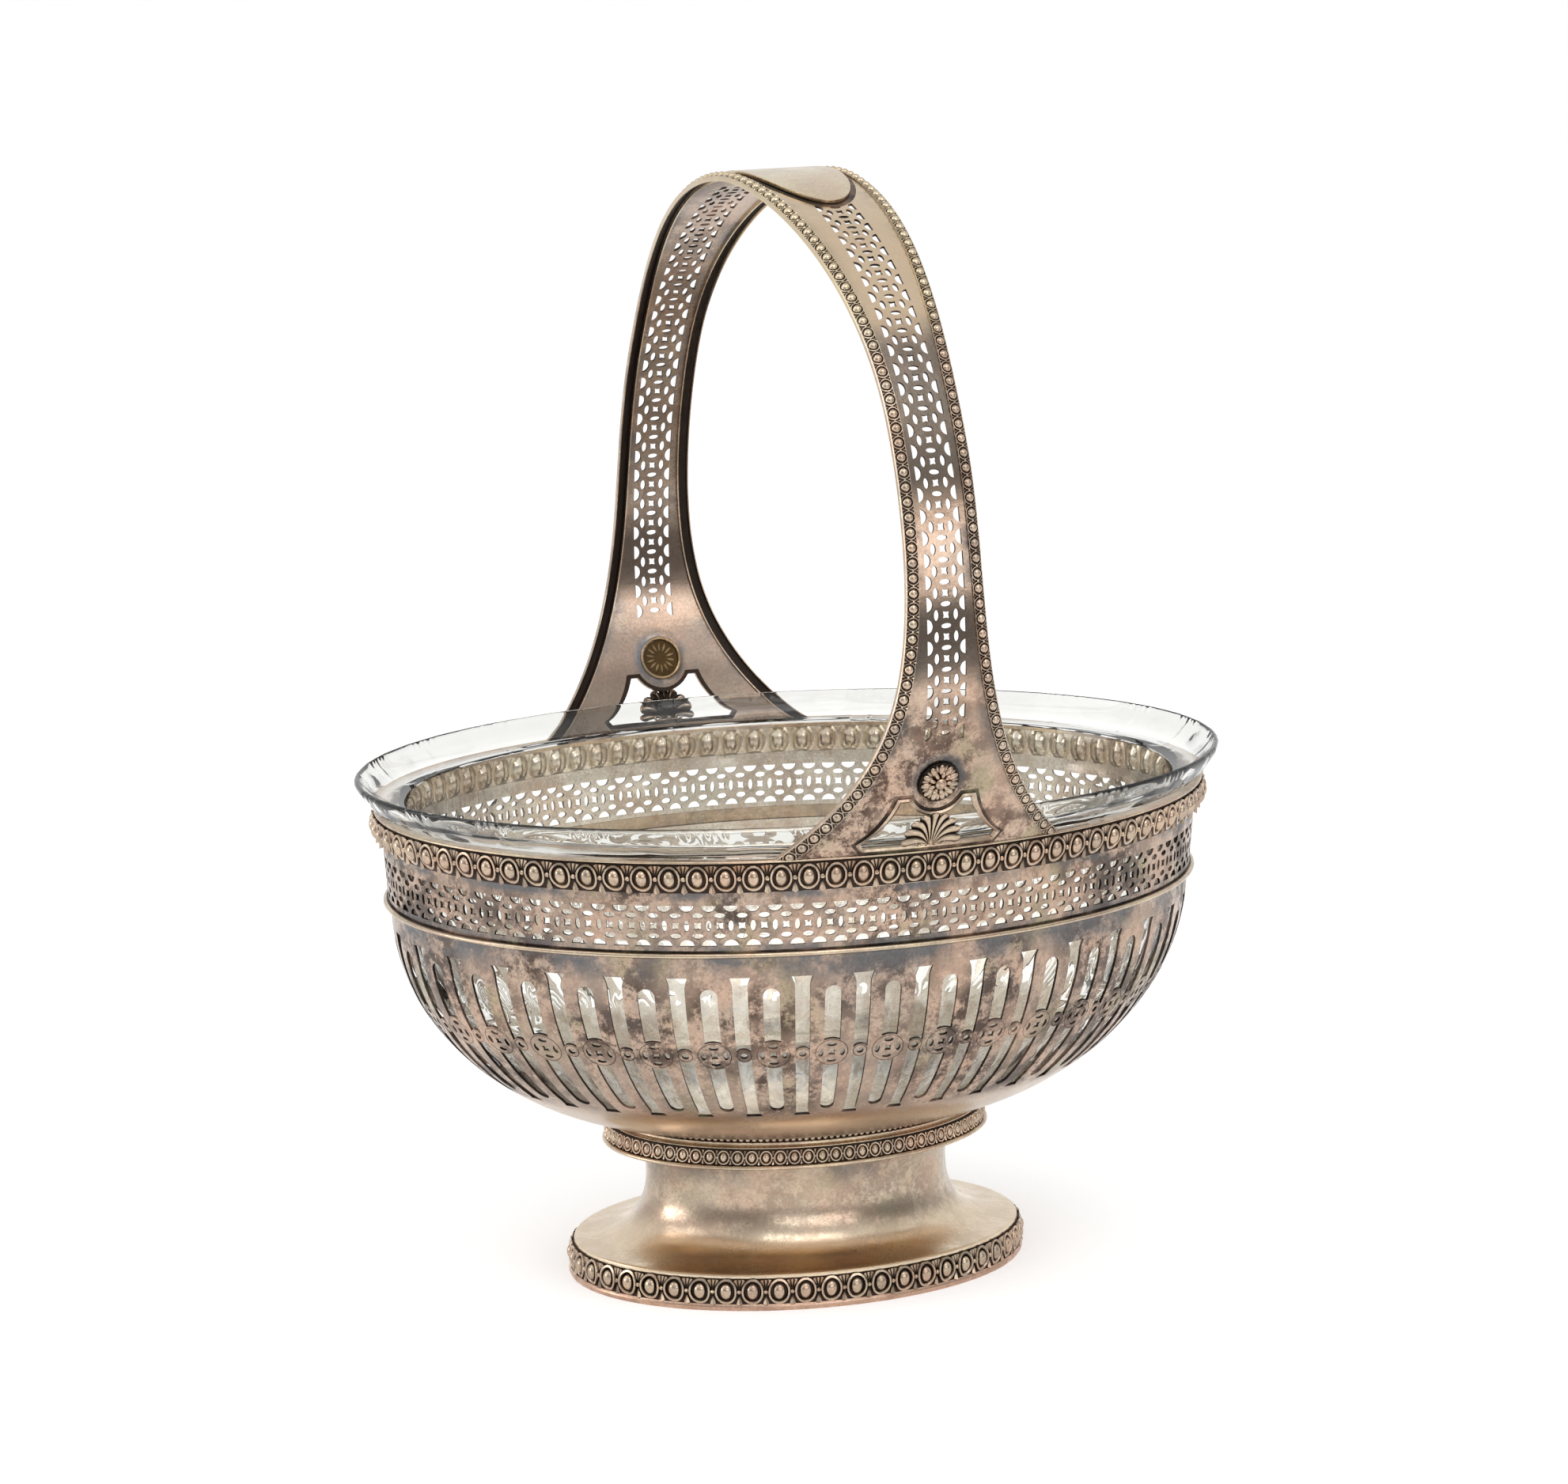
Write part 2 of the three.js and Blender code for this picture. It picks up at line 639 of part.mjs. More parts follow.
// Plain oval plaque over the top of the arch, soldered on just proud of the strap
function makeCartouche() {
  const patch = strapPatch(cartoucheHalfWidth + 2, -cartoucheHalfLength * 1.15, cartoucheHalfLength * 1.15,
    14, 4, seatGap, seatGap + cartoucheThickness);
  const outline = new THREE.CylinderGeometry(1, 1, 2 * cutDepth, 28);
  outline.rotateX(Math.PI / 2);
  outline.scale(cartoucheHalfWidth, cartoucheHalfLength, 1);
  outline.translate(0, 0, archTopZ);
  addPiece('handle_cartouche', toGeometry(patch.intersect(toSolid(outline))), giltSilver);
}

// Flower boss: a low dome whose edge is scalloped by its petals
function makeRosettes() {
  const dome = new THREE.Path();
  dome.moveTo(0, -sheet);
  dome.lineTo(rosetteRadius, -sheet);
  dome.lineTo(rosetteRadius, 0.5);
  dome.quadraticCurveTo(rosetteRadius * 0.8, rosetteRise, rosetteRadius * 0.35, rosetteRise * 0.8);
  dome.lineTo(rosetteRadius * 0.2, rosetteRise * 1.2);
  dome.lineTo(0, rosetteRise * 1.3);
  const geometry = new THREE.LatheGeometry(dome.getPoints(2), rosettePetals * 2);
  const position = geometry.attributes.position;
  for (let i = 0; i < position.count; i += 1) {
    const angle = Math.atan2(position.getZ(i), position.getX(i));
    const petal = 1 + 0.05 * Math.cos(angle * rosettePetals);
    position.setXYZ(i, position.getX(i) * petal, -position.getZ(i) * petal, position.getY(i));
  }
  const front = closed(atRosette(geometry));
  addPiece('rosette_front', front, darkSilver);
  addPiece('rosette_back', turnedRound(front), darkSilver);
}

// Raised bead that lines each wing's opening, and the shell-shaped leaf that stands in it
function makeWingOrnaments() {
  const legLength = openingShoulder * 1.3;
  const patch = (low, high) => strapPatch(openingHalfBase + 3, -halfArchLength - 2, -halfArchLength + legLength,
    6, 8, low, high);
  const opening = openingOutline();
  const outside = wingBlock(insetOutline(opening, seatGap));
  const inside = wingBlock(insetOutline(opening, seatGap + frameWidth));
  const ring = toSolid(outside).subtract(toSolid(inside));
  const frame = toGeometry(patch(-sheet, frameRise).intersect(ring));
  addPiece('opening_frame_front', frame, silver);
  addPiece('opening_frame_back', turnedRound(frame), silver);

  const rootZ = openingBottom + frameWidth + 2 * seatGap;
  const centreZ = rootZ + 1.4;
  const fan = [new THREE.Vector2(0.9, rootZ)];
  const pointsPerLobe = 3;
  const steps = palmetteLobes * pointsPerLobe;
  for (let i = 0; i <= steps; i += 1) {
    const lobe = Math.abs(Math.sin((i / pointsPerLobe) * Math.PI));
    const angle = THREE.MathUtils.degToRad(-12 + (204 * i) / steps);
    const height = rosetteHeight - rosetteLand - frameWidth - 2 * seatGap - centreZ;
    const reach = 0.88 + 0.12 * lobe;
    fan.push(new THREE.Vector2(palmetteReach * reach * Math.cos(angle), centreZ + height * reach * Math.sin(angle)));
  }
  fan.push(new THREE.Vector2(-0.9, rootZ));
  const leaf = toGeometry(patch(-sheet * 0.5, frameRise).intersect(toSolid(wingBlock(fan))));
  addPiece('palmette_front', leaf, silver);
  addPiece('palmette_back', turnedRound(leaf), silver);
}

// Glass liner: it follows the silver inside at a clearance, and its lip rests over the rim
function makeLiner() {
  const bodyBottom = bowlZ + sheet + linerFloorGap;
  const neckHalfLength = rimLipHalfLength - rimLipWidth - linerClearance;
  const bodyHalfLength = (z) => Math.min(
    bowlHalfLengthAt(z - linerFloorGap) - sheet - linerClearance,
    neckHalfLength,
  );
  const shares = [0, 0.07, 0.16, 0.3, 0.48, 0.7, 1];
  const bodyTop = shoulderZ;
  const body = shares.map((share) => {
    const z = bodyBottom + (bodyTop - bodyBottom) * share;
    return [bodyHalfLength(z), z];
  });
  const widthAt = (halfLength) => {
    const share = (halfLength - neckHalfLength) / (glassLipHalfLength - neckHalfLength);
    return neckHalfLength * planRatio + (glassLipHalfWidth - neckHalfLength * planRatio) * share;
  };
  const lipTop = rimTopZ + glassLipRise;
  const seatZ = rimTopZ + seatGap;
  const innerBody = [...body].reverse().map(([halfLength, z], i) => {
    const isFloor = i === body.length - 1;
    return [halfLength - (isFloor ? glassWall * 0.4 : glassWall), z + (isFloor ? glassWall : glassWall * 0.5)];
  });
  const profile = [
    [0, bodyBottom],
    ...body,
    [neckHalfLength, seatZ],
    [glassSeatHalfLength, seatZ, widthAt(glassSeatHalfLength)],
    [glassLipHalfLength - 2.4, seatZ + glassLipRise * 0.45, widthAt(glassLipHalfLength - 2.4)],
    [glassLipHalfLength, lipTop - 0.8, glassLipHalfWidth],
    [glassLipHalfLength - 0.9, lipTop, widthAt(glassLipHalfLength - 0.9)],
    [glassLipHalfLength - 5.0, lipTop - 3.2, widthAt(glassLipHalfLength - 5.0)],
    [neckHalfLength - glassWall, rimTopZ + glassWall * 0.6],
    ...innerBody,
    [0, bodyBottom + glassWall],
  ];
  addPiece('glass_liner', oval(profile), clearGlass);
}

makeFoot();
makeCollar();
makeBowl();
makeRim();
makeStrap();
makeBorders();
makeCartouche();
makeRosettes();
makeWingOrnaments();
makeLiner();

export default basket;
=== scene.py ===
import math
import bpy
import numpy as np
from mathutils import Matrix, Vector


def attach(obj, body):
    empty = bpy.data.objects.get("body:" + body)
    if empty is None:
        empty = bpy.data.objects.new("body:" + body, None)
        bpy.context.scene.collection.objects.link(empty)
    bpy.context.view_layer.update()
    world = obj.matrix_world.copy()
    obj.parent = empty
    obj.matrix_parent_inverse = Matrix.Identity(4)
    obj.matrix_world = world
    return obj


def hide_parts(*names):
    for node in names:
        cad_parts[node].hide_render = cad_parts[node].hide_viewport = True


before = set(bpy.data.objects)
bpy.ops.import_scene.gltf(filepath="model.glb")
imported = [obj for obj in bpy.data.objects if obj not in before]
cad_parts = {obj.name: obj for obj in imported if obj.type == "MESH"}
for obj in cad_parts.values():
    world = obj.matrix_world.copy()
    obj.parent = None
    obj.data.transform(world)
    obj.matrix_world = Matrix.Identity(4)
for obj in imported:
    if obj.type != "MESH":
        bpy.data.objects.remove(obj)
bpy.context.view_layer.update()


# Foot
# The foot is raised from silver sheet, turned true and pressed to an oval. A stamped strip of
# eggs and darts is soldered round its edge, and it stands on a thin drawn wire.
# Sizes are in millimetres, and a piece is brought to metres when it is finished.
plan_ratio = 0.766
sheet = 1.0
round_sides = 144
base_wire_top = 1.8
base_wire_outer = 63.9
base_wire_inner = 59.7
foot_edge = 62.3
foot_band_top = 8.6
foot_band_bulge = 1.5
foot_waist = 42.0
foot_waist_z = 27.0
neck_top = 44.4
neck_top_z = 36.0
foot_egg_count = 50
shine_turn = math.radians(35)


def clear_bench():
    """Leaves edit mode and deselects everything, so that a tool works only on what is added next."""
    if bpy.context.mode != "OBJECT":
        bpy.ops.object.mode_set(mode="OBJECT")
    bpy.ops.object.select_all(action="DESELECT")


def pick(*pieces):
    clear_bench()
    for piece in pieces:
        piece.select_set(True)
    bpy.context.view_layer.objects.active = pieces[0]


def opened(piece):
    """Opens a piece for editing, with all of it selected."""
    pick(piece)
    bpy.ops.object.mode_set(mode="EDIT")
    bpy.ops.mesh.select_all(action="SELECT")


def faced_out(piece):
    opened(piece)
    bpy.ops.mesh.normals_make_consistent(inside=False)
    clear_bench()
    return piece


def merged(piece, reach=0.003):
    opened(piece)
    bpy.ops.mesh.remove_doubles(threshold=reach)
    clear_bench()
    return piece


def sliced(piece, spot, facing, front=False, closed=False):
    """Cuts away what lies behind a plane, or in front of it."""
    opened(piece)
    bpy.ops.mesh.bisect(
        plane_co=spot, plane_no=facing, clear_inner=not front, clear_outer=front, use_fill=closed)
    clear_bench()


def modified(piece, kind, **settings):
    pick(piece)
    change = piece.modifiers.new(kind, kind)
    for name, value in settings.items():
        setattr(change, name, value)
    bpy.ops.object.modifier_apply(modifier=change.name)
    return piece


def curved(profile, pull, end, steps, start=None):
    """Adds a curve to a profile, from its last corner or from start, that bends towards pull."""
    start = start or profile[-1]
    for i in range(1, steps + 1):
        t = i / steps
        weights = ((1 - t) ** 2, 2 * t * (1 - t), t * t)
        profile.append(tuple(sum(w * p[k] for w, p in zip(weights, (start, pull, end))) for k in (0, 1)))


def turned(name, profile, sides=round_sides):
    """A ring of oval plan with a closed profile of (half length, height) corners."""
    clear_bench()
    bpy.ops.mesh.primitive_circle_add(vertices=sides, radius=profile[0][0], location=(0, 0, profile[0][1]))
    piece = bpy.context.active_object
    piece.name = name
    bpy.ops.object.transform_apply()
    opened(piece)
    for before, after in zip(profile, profile[1:] + profile[:1]):
        bpy.ops.mesh.extrude_edges_move(TRANSFORM_OT_translate={"value": (0, 0, after[1] - before[1])})
        wider = after[0] / before[0]
        bpy.ops.transform.resize(value=(wider, wider, 1), center_override=(0, 0, 0))
    bpy.ops.mesh.select_all(action="SELECT")
    bpy.ops.mesh.remove_doubles(threshold=0.001)
    bpy.ops.transform.resize(value=(1, plan_ratio, 1), center_override=(0, 0, 0))
    return faced_out(piece)


def joined(name, *pieces):
    pick(*pieces)
    if len(pieces) > 1:
        bpy.ops.object.join()
    whole = bpy.context.active_object
    whole.name = name
    return whole


def places(piece):
    found = np.empty(len(piece.data.vertices) * 3, dtype=np.float32)
    piece.data.vertices.foreach_get("co", found)
    return found.reshape(-1, 3).astype(float)


def put(piece, found):
    piece.data.vertices.foreach_set("co", found.astype(np.float32).ravel())
    piece.data.update()


def held(amount):
    """Keeps an amount from 0 to 1."""
    return np.clip(amount, 0, 1)


def mark_area(piece, kind, amount):
    """Keeps a share from 0 to 1 at each point of a piece, for its material to read."""
    marks = piece.data.attributes.new(kind, "FLOAT", "POINT")
    marks.data.foreach_set("value", held(amount).astype(np.float32))


def mark_relief(piece, low, high):
    """Keeps how far each point stands out of the flat strip, from 0 in a hollow to 1 on a top."""
    mark_area(piece, "relief", (-places(piece)[:, 1] - low) / (high - low))


def repeated(piece, count, pitch, axis=0):
    steps = [pitch if i == axis else 0 for i in range(3)]
    modified(piece, "ARRAY", count=count, use_relative_offset=False, use_constant_offset=True,
             constant_offset_displace=steps, use_merge_vertices=True, merge_threshold=0.001)


def laid_on_oval(piece, length, climbs, half_lengths, heights):
    """Bends a flat strip round the basket. Its x runs along the oval, its front faces -Y, and its
    z climbs a wall that is given by half lengths and heights at some climbs."""
    turn = np.linspace(-math.pi / 2, 3 * math.pi / 2, 2881)
    middle = (turn[1:] + turn[:-1]) / 2
    run = np.concatenate([[0], np.cumsum(np.hypot(np.sin(middle), plan_ratio * np.cos(middle)))])
    x, y, z = places(piece).T
    share = x / length
    around = np.interp(share % 1.0, run / run[-1], turn)
    half = np.interp(z, climbs, half_lengths)
    height = np.interp(z, climbs, heights)
    step = 0.2
    rise = np.interp(z + step, climbs, heights) - np.interp(z - step, climbs, heights)
    spread = np.interp(z + step, climbs, half_lengths) - np.interp(z - step, climbs, half_lengths)
    steep = np.hypot(rise, spread) + 1e-9
    facing = np.stack([plan_ratio * np.cos(around), np.sin(around)])
    facing = facing / np.hypot(*facing)
    across = -y * rise / steep
    put(piece, np.stack([
        half * np.cos(around) + across * facing[0],
        half * plan_ratio * np.sin(around) + across * facing[1],
        height + y * spread / steep,
    ], axis=1))
    merged(piece, 0.002)


def strip_of(unit, relief, count, pitch, climbs, half_lengths, heights):
    """Marks the relief of one stamped unit, and lays a row of it round the basket."""
    mark_relief(unit, *relief)
    repeated(unit, count, pitch)
    laid_on_oval(unit, pitch * count, climbs, half_lengths, heights)


def finished(piece, body, slot, nodes, *finishes, turn=shine_turn):
    """Brings a piece to metres, smooths it, and says what it rides on and stands for."""
    pick(piece)
    piece.data.transform(Matrix.Scale(0.001, 4))
    piece.data.update()
    bpy.ops.object.shade_smooth_by_angle(angle=turn)
    for i, finish in enumerate(finishes):
        if i < len(piece.data.materials):
            piece.data.materials[i] = finish
        else:
            piece.data.materials.append(finish)
    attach(piece, body)
    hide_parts(*nodes)
    clear_bench()
    return piece


def oval_length(half_length):
    short = half_length * plan_ratio
    uneven = math.sqrt((3 * half_length + short) * (half_length + 3 * short))
    return math.pi * (3 * (half_length + short) - uneven)


def shaped(place, size=(1, 1, 1), turn=(0, 0, 0)):
    """Brings the shape just added to its size, turn and place."""
    blank = bpy.context.active_object
    blank.scale = size
    blank.rotation_euler = turn
    blank.location = place
    bpy.ops.object.transform_apply()
    return blank


def bead(place, size, turn=(0, 0, 0), sides=8, rings=6):
    bpy.ops.mesh.primitive_uv_sphere_add(segments=sides, ring_count=rings, radius=1)
    return shaped(place, size, turn)


def hoop(place, width, height, wire, sides=18, thickness=6, proud=1.5):
    """An oval ring that lies on a flat strip."""
    bpy.ops.mesh.primitive_torus_add(
        major_segments=sides, minor_segments=thickness, major_radius=width / 2, minor_radius=wire)
    return shaped(place, (1, height / width, proud), (math.pi / 2, 0, 0))


def egg_and_dart(pitch, height, egg, collar, wire, rise, fine=True):
    """One egg in its collar with half a dart on each side, flat, with its front to -Y."""
    middle = (pitch / 2, 0, height / 2)
    clear_bench()
    egg_faces, hoop_sides, knob_faces = ((14, 10), 18, (8, 6)) if fine else ((10, 6), 14, (6, 4))
    parts = [
        bead(middle, (egg[0] / 2, rise, egg[1] / 2), (0, 0, 0), *egg_faces),
        hoop(middle, collar[0], collar[1], wire, hoop_sides),
    ]
    knob = height * 0.1
    for side in (0, pitch):
        parts.append(bead((side, -0.15, height / 2), (knob, knob * 1.2, knob), (0, 0, 0), *knob_faces))
        for end in (-1, 1):
            for lean in ((-1, 0, 1) if fine and end > 0 else (0,)):
                foot = 0.14 if fine and end < 0 else 0.085
                bpy.ops.mesh.primitive_cone_add(
                    vertices=6, radius1=height * foot, radius2=height * 0.03, depth=0.3 * height)
                parts.append(shaped(
                    (side + lean * height * 0.115, 0, height / 2 + end * height * 0.32), (1, 1.6, 1),
                    (0 if end < 0 else math.pi, end * lean * 0.36, 0)))
    unit = joined("egg_unit", *parts)
    sliced(unit, (0, 0.15, 0), (0, 1, 0), front=True)
    for facing, length, margin in (((1, 0, 0), pitch, 0.001), ((0, 0, 1), height, 0.05)):
        sliced(unit, [margin * way for way in facing], facing)
        sliced(unit, [(length - margin) * way for way in facing], facing, front=True)
    return unit


def tint(red, green, blue):
    """A colour as a screen shows it, brought to the linear values that a shader takes."""
    return [((c / 255 + 0.055) / 1.055) ** 2.4 for c in (red, green, blue)] + [1.0]


def fill(tree, socket, value):
    if isinstance(value, bpy.types.NodeSocket):
        tree.links.new(value, socket)
    else:
        socket.default_value = value


def wired(tree, node, filled):
    """Fills the named sockets of a node with values or with other nodes' outputs."""
    for name, value in filled.items():
        fill(tree, node.inputs[name], value)
    return node


def shade_node(tree, kind, filled=None, **settings):
    made = tree.nodes.new("ShaderNode" + kind)
    for name, value in settings.items():
        setattr(made, name, value)
    return wired(tree, made, filled or {})


def blended(tree, share, first, second, blend="MIX"):
    mixer = shade_node(tree, "Mix", data_type="RGBA", blend_type=blend)
    for socket, value in ((mixer.inputs[0], share), (mixer.inputs[6], first), (mixer.inputs[7], second)):
        fill(tree, socket, value)
    return mixer.outputs[2]


def eased(tree, value, low, high, start=0.0, end=1.0):
    """Turns smoothly from start to end while a value goes from low to high."""
    return shade_node(tree, "MapRange", {
        "Value": value, "From Min": low, "From Max": high, "To Min": start, "To Max": end,
    }, interpolation_type="SMOOTHSTEP").outputs["Result"]


def cloud(tree, where, scale, detail, low, high, roughness=0.6, to=(0.0, 1.0)):
    """A mask of soft clouds that turns from the first value to the second between low and high."""
    noise = shade_node(tree, "TexNoise", {
        "Vector": where, "Scale": scale, "Detail": detail, "Roughness": roughness})
    return eased(tree, noise.outputs["Fac"], low, high, *to)


def painted(tree, kind):
    return shade_node(tree, "Attribute", attribute_name=kind).outputs["Fac"]


def object_place(tree, kind="Object"):
    return shade_node(tree, "TexCoord").outputs[kind]


def object_axes(tree, kind="Object"):
    return shade_node(tree, "SeparateXYZ", {"Vector": object_place(tree, kind)}).outputs


def new_finish(name):
    finish = bpy.data.materials.new(name)
    finish.use_nodes = True
    return finish, finish.node_tree, finish.node_tree.nodes["Principled BSDF"]


def times(tree, first, second, operation="MULTIPLY"):
    product = shade_node(tree, "Math", operation=operation)
    fill(tree, product.inputs[0], first)
    fill(tree, product.inputs[1], second)
    return product.outputs[0]


weathering = bpy.data.node_groups.new("silver_weathering", "ShaderNodeTree")
for name, kind, value in (
    ("Clean", "Color", tint(206, 184, 168)), ("Tarnish", "Color", tint(120, 96, 86)),
    ("Bloom And Shade", "Color", tint(134, 136, 140)), ("Tarnish Amount", "Float", 0.6),
    ("Bloom Amount", "Float", 0.3), ("Polish", "Float", 0.22),
):
    socket = weathering.interface.new_socket(name, in_out="INPUT", socket_type="NodeSocket" + kind)
    socket.default_value = value
for name, kind in (("Colour", "Color"), ("Roughness", "Float"), ("Height", "Float")):
    weathering.interface.new_socket(name, in_out="OUTPUT", socket_type="NodeSocket" + kind)
given = weathering.nodes.new("NodeGroupInput").outputs
where = object_place(weathering)
patches = cloud(weathering, where, 125, 9, 0.44, 0.55, 0.8)
flecks = cloud(weathering, where, 480, 6, 0.5, 0.62, 0.75, (0.0, 0.75))
crowding = cloud(weathering, where, 38, 3, 0.34, 0.6, 0.6, (0.25, 1.0))
spots = times(weathering, patches, flecks, "MAXIMUM")
tarnish_here = times(weathering, times(weathering, spots, crowding), given["Tarnish Amount"])
aside = shade_node(weathering, "Mapping", {"Vector": where, "Location": (0.3, 0.1, 0.7)}).outputs["Vector"]
# Grey bloom in clouds. Where a piece marks more of it beside its mouldings, it is painted shade.
bloom_and_shade_clouds = cloud(weathering, aside, 44, 7, 0.42, 0.62, 0.7, (0.1, 1.0))
bloom_and_shade_here = times(weathering, bloom_and_shade_clouds, given["Bloom Amount"])
speckle = cloud(weathering, where, 1300, 3, 0.3, 0.7, 0.6, (0.86, 1.05))
warmth = cloud(weathering, aside, 70, 3, 0.4, 0.62)
rubbed = blended(weathering, times(weathering, warmth, 0.55), given["Clean"], tint(202, 168, 145))
olive_clouds = cloud(weathering, aside, 58, 4, 0.54, 0.66)
olive = times(weathering, olive_clouds, times(weathering, given["Tarnish Amount"], 0.5))
greened = blended(weathering, olive, rubbed, tint(150, 147, 112))
stained = blended(weathering, tarnish_here, greened, given["Tarnish"])
bloomed_and_shaded = blended(weathering, bloom_and_shade_here, stained, given["Bloom And Shade"])
grained = shade_node(weathering, "VectorMath", {"Vector": bloomed_and_shaded, "Scale": speckle}, operation="SCALE")
dulled = times(weathering, times(weathering, tarnish_here, 0.22), times(weathering, bloom_and_shade_here, 0.15), "ADD")
roughened = times(weathering, dulled, given["Polish"], "ADD")
waves = cloud(weathering, where, 60, 2, 0.2, 0.8)
scuffs = times(weathering, cloud(weathering, where, 900, 4, 0.3, 0.7), 0.08)
surface = times(weathering, waves, scuffs, "ADD")
wired(weathering, weathering.nodes.new("NodeGroupOutput"), {
    "Colour": grained.outputs[0], "Roughness": roughened, "Height": surface})


def silver(name, clean, tarnish=(106, 87, 79), bloom_and_shade=(118, 120, 124), amounts=(0.6, 0.3), polish=0.2,
           hollow=None, bump=0.1, shaded=False, height_tone=None, painted_shade=None):
    """Old silver under blotchy tarnish. Stamped work is dark in its hollows and rubbed on its tops.
    A sheet can take more grey bloom where it's marked, which beside and under its mouldings is
    painted shade. Where it's marked it can lose its tarnish to show a painted sheen, or be turned grey
    as painted shade. From one height to another a lighter tone can be blended in, which on the foot's
    flange and the bowl's bottom is a painted reflection."""
    finish, tree, shader = new_finish(name)
    weather = shade_node(tree, "Group", {
        "Clean": tint(*clean), "Tarnish": tint(*tarnish), "Bloom And Shade": tint(*bloom_and_shade),
        "Tarnish Amount": amounts[0], "Bloom Amount": amounts[1], "Polish": polish,
    }, node_tree=weathering)
    colour = weather.outputs["Colour"]
    roughness = weather.outputs["Roughness"]
    # Bloom grows where a piece is marked, and beside mouldings this is painted shade.
    if shaded:
        # Tarnish is taken off where a piece is marked, so that a painted sheen shows there.
        tarnish_left = times(tree, 1.0, painted(tree, "cleaned_for_sheen"), "SUBTRACT")
        wired(tree, weather, {
            "Bloom Amount": times(tree, painted(tree, "bloom_and_shade"), amounts[1], "ADD"),
            "Tarnish Amount": times(tree, tarnish_left, amounts[0]),
        })
    # Where a piece is marked, a dark grey is blended in: painted shade.
    if painted_shade:
        colour = blended(tree, painted(tree, "painted_shade"), colour, tint(*painted_shade))
    # A lighter tone blended in from one height to another. On the foot's flange and the bowl's bottom it is a
    # painted reflection.
    if height_tone:
        height_colour, low, high = height_tone
        height_share = eased(tree, object_axes(tree)["Z"], low, high, 0.0, 0.6)
        colour = blended(tree, height_share, colour, tint(*height_colour))
    if hollow:
        rubbed = eased(tree, painted(tree, "relief"), 0.05, 0.6)
        colour = blended(tree, rubbed, tint(*hollow), colour)
        roughness = times(tree, roughness, times(tree, times(tree, rubbed, -0.25), 0.25, "ADD"), "ADD")
    bumps = shade_node(tree, "Bump", {
        "Height": weather.outputs["Height"], "Strength": bump, "Distance": 0.001})
    wired(tree, shader, {
        "Base Color": colour, "Roughness": roughness, "Metallic": 1.0, "Normal": bumps.outputs["Normal"]})
    return finish


raised_silver = silver("raised_silver", (212, 193, 166), (138, 118, 102), amounts=(0.35, 0.2), polish=0.18)
# Below 19 mm the foot's flange is blended to a pale cream: painted reflected light.
foot_silver = silver("foot_silver", (196, 179, 157), (128, 110, 98), (122, 116, 112), amounts=(0.5, 0.15),
                     polish=0.18, shaded=True, height_tone=((244, 224, 194), 0.019, 0.012))
stamped_silver = silver("stamped_silver", (203, 183, 160), amounts=(0.35, 0.15), hollow=(58, 48, 42),
                        bump=0.06)
worn_silver = silver("worn_silver", (206, 172, 150), (150, 112, 92), amounts=(0.5, 0.1), polish=0.24)

foot_outer = [(foot_edge, foot_band_top), (foot_edge, foot_band_top + 0.5)]
curved(foot_outer, (foot_edge, 9.7), (foot_edge - 0.9, 9.7), 3)
curved(foot_outer, (foot_waist, 9.7), (foot_waist, foot_waist_z), 26)
curved(foot_outer, (foot_waist, 31.5), (neck_top, neck_top_z), 12)
foot_inner = [(neck_top - sheet, neck_top_z)]
curved(foot_inner, (foot_waist - sheet, 31.5), (foot_waist - sheet, foot_waist_z), 8)
curved(foot_inner, (foot_waist - sheet, 8.6), (foot_edge - sheet, 8.6), 16)
foot_trumpet = turned("foot_trumpet", foot_outer + foot_inner)

wire_profile = [(base_wire_inner, 0.0), (base_wire_outer - 0.5, 0.0)]
curved(wire_profile, (base_wire_outer + 0.3, 0.9), (base_wire_outer - 0.5, base_wire_top), 6)
wire_profile += [(base_wire_inner, base_wire_top)]
foot_wire = turned("foot_wire", wire_profile)

band_height = foot_band_top - base_wire_top
ground = [
    (base_wire_inner, base_wire_top), (foot_edge + 0.9, base_wire_top),
    (foot_edge + 0.9, base_wire_top + 0.5)]
curved(ground, (foot_edge + foot_band_bulge, 5.2), (foot_edge - 0.2, 8.0), 8, start=(foot_edge + 0.3, 2.3))
ground += [(foot_edge + 0.4, 8.1), (foot_edge + 0.4, foot_band_top), (base_wire_inner, foot_band_top)]
ground = [(half - 0.15, z) if half > foot_edge else (half, z) for half, z in ground]
foot_ground = turned("foot_egg_ground", ground)
foot_pitch = oval_length(foot_edge) / foot_egg_count
foot_eggs = egg_and_dart(foot_pitch, band_height - 0.4, (3.2, 4.2), (5.2, 5.9), 0.48, 1.15)
climb = np.linspace(0, band_height, 12)
swell = 4 * (climb / band_height) * (1 - climb / band_height)
strip_of(foot_eggs, (0.2, 0.85), foot_egg_count, foot_pitch,
         climb, foot_edge + 0.3 + 0.75 * swell - 0.05 * climb, climb + base_wire_top + 0.2)
foot_strip = joined("foot_egg_strip", foot_eggs, foot_ground)

height = places(foot_trumpet)[:, 2]
# Grey bloom on the neck's top, under the collar's lip: partly painted shade.
mark_area(foot_trumpet, "bloom_and_shade", 0.7 * held((height - 28) / 5))
finished(foot_trumpet, "basket", "raised_silver", ["foot_shell"], foot_silver)
finished(foot_wire, "basket", "raised_silver", ["foot_base_wire"], worn_silver)
finished(foot_strip, "basket", "stamped_silver", ["foot_egg_band"], stamped_silver)


# Collar
# A rounded lip, a narrow strip of small eggs and darts, a hollowed step and a row of fine beads are
# soldered one on the other between the foot's neck and the bowl.
collar_lip_outer = 54.0
collar_band_z = 37.6
collar_band_outer = 53.0
collar_step_z = 41.2
collar_step_outer = 50.6
pearl_z = 43.0
bowl_z = 44.6
pearl_centre = 49.6
collar_inner = 46.4
collar_egg_count = 78
pearl_count = 162

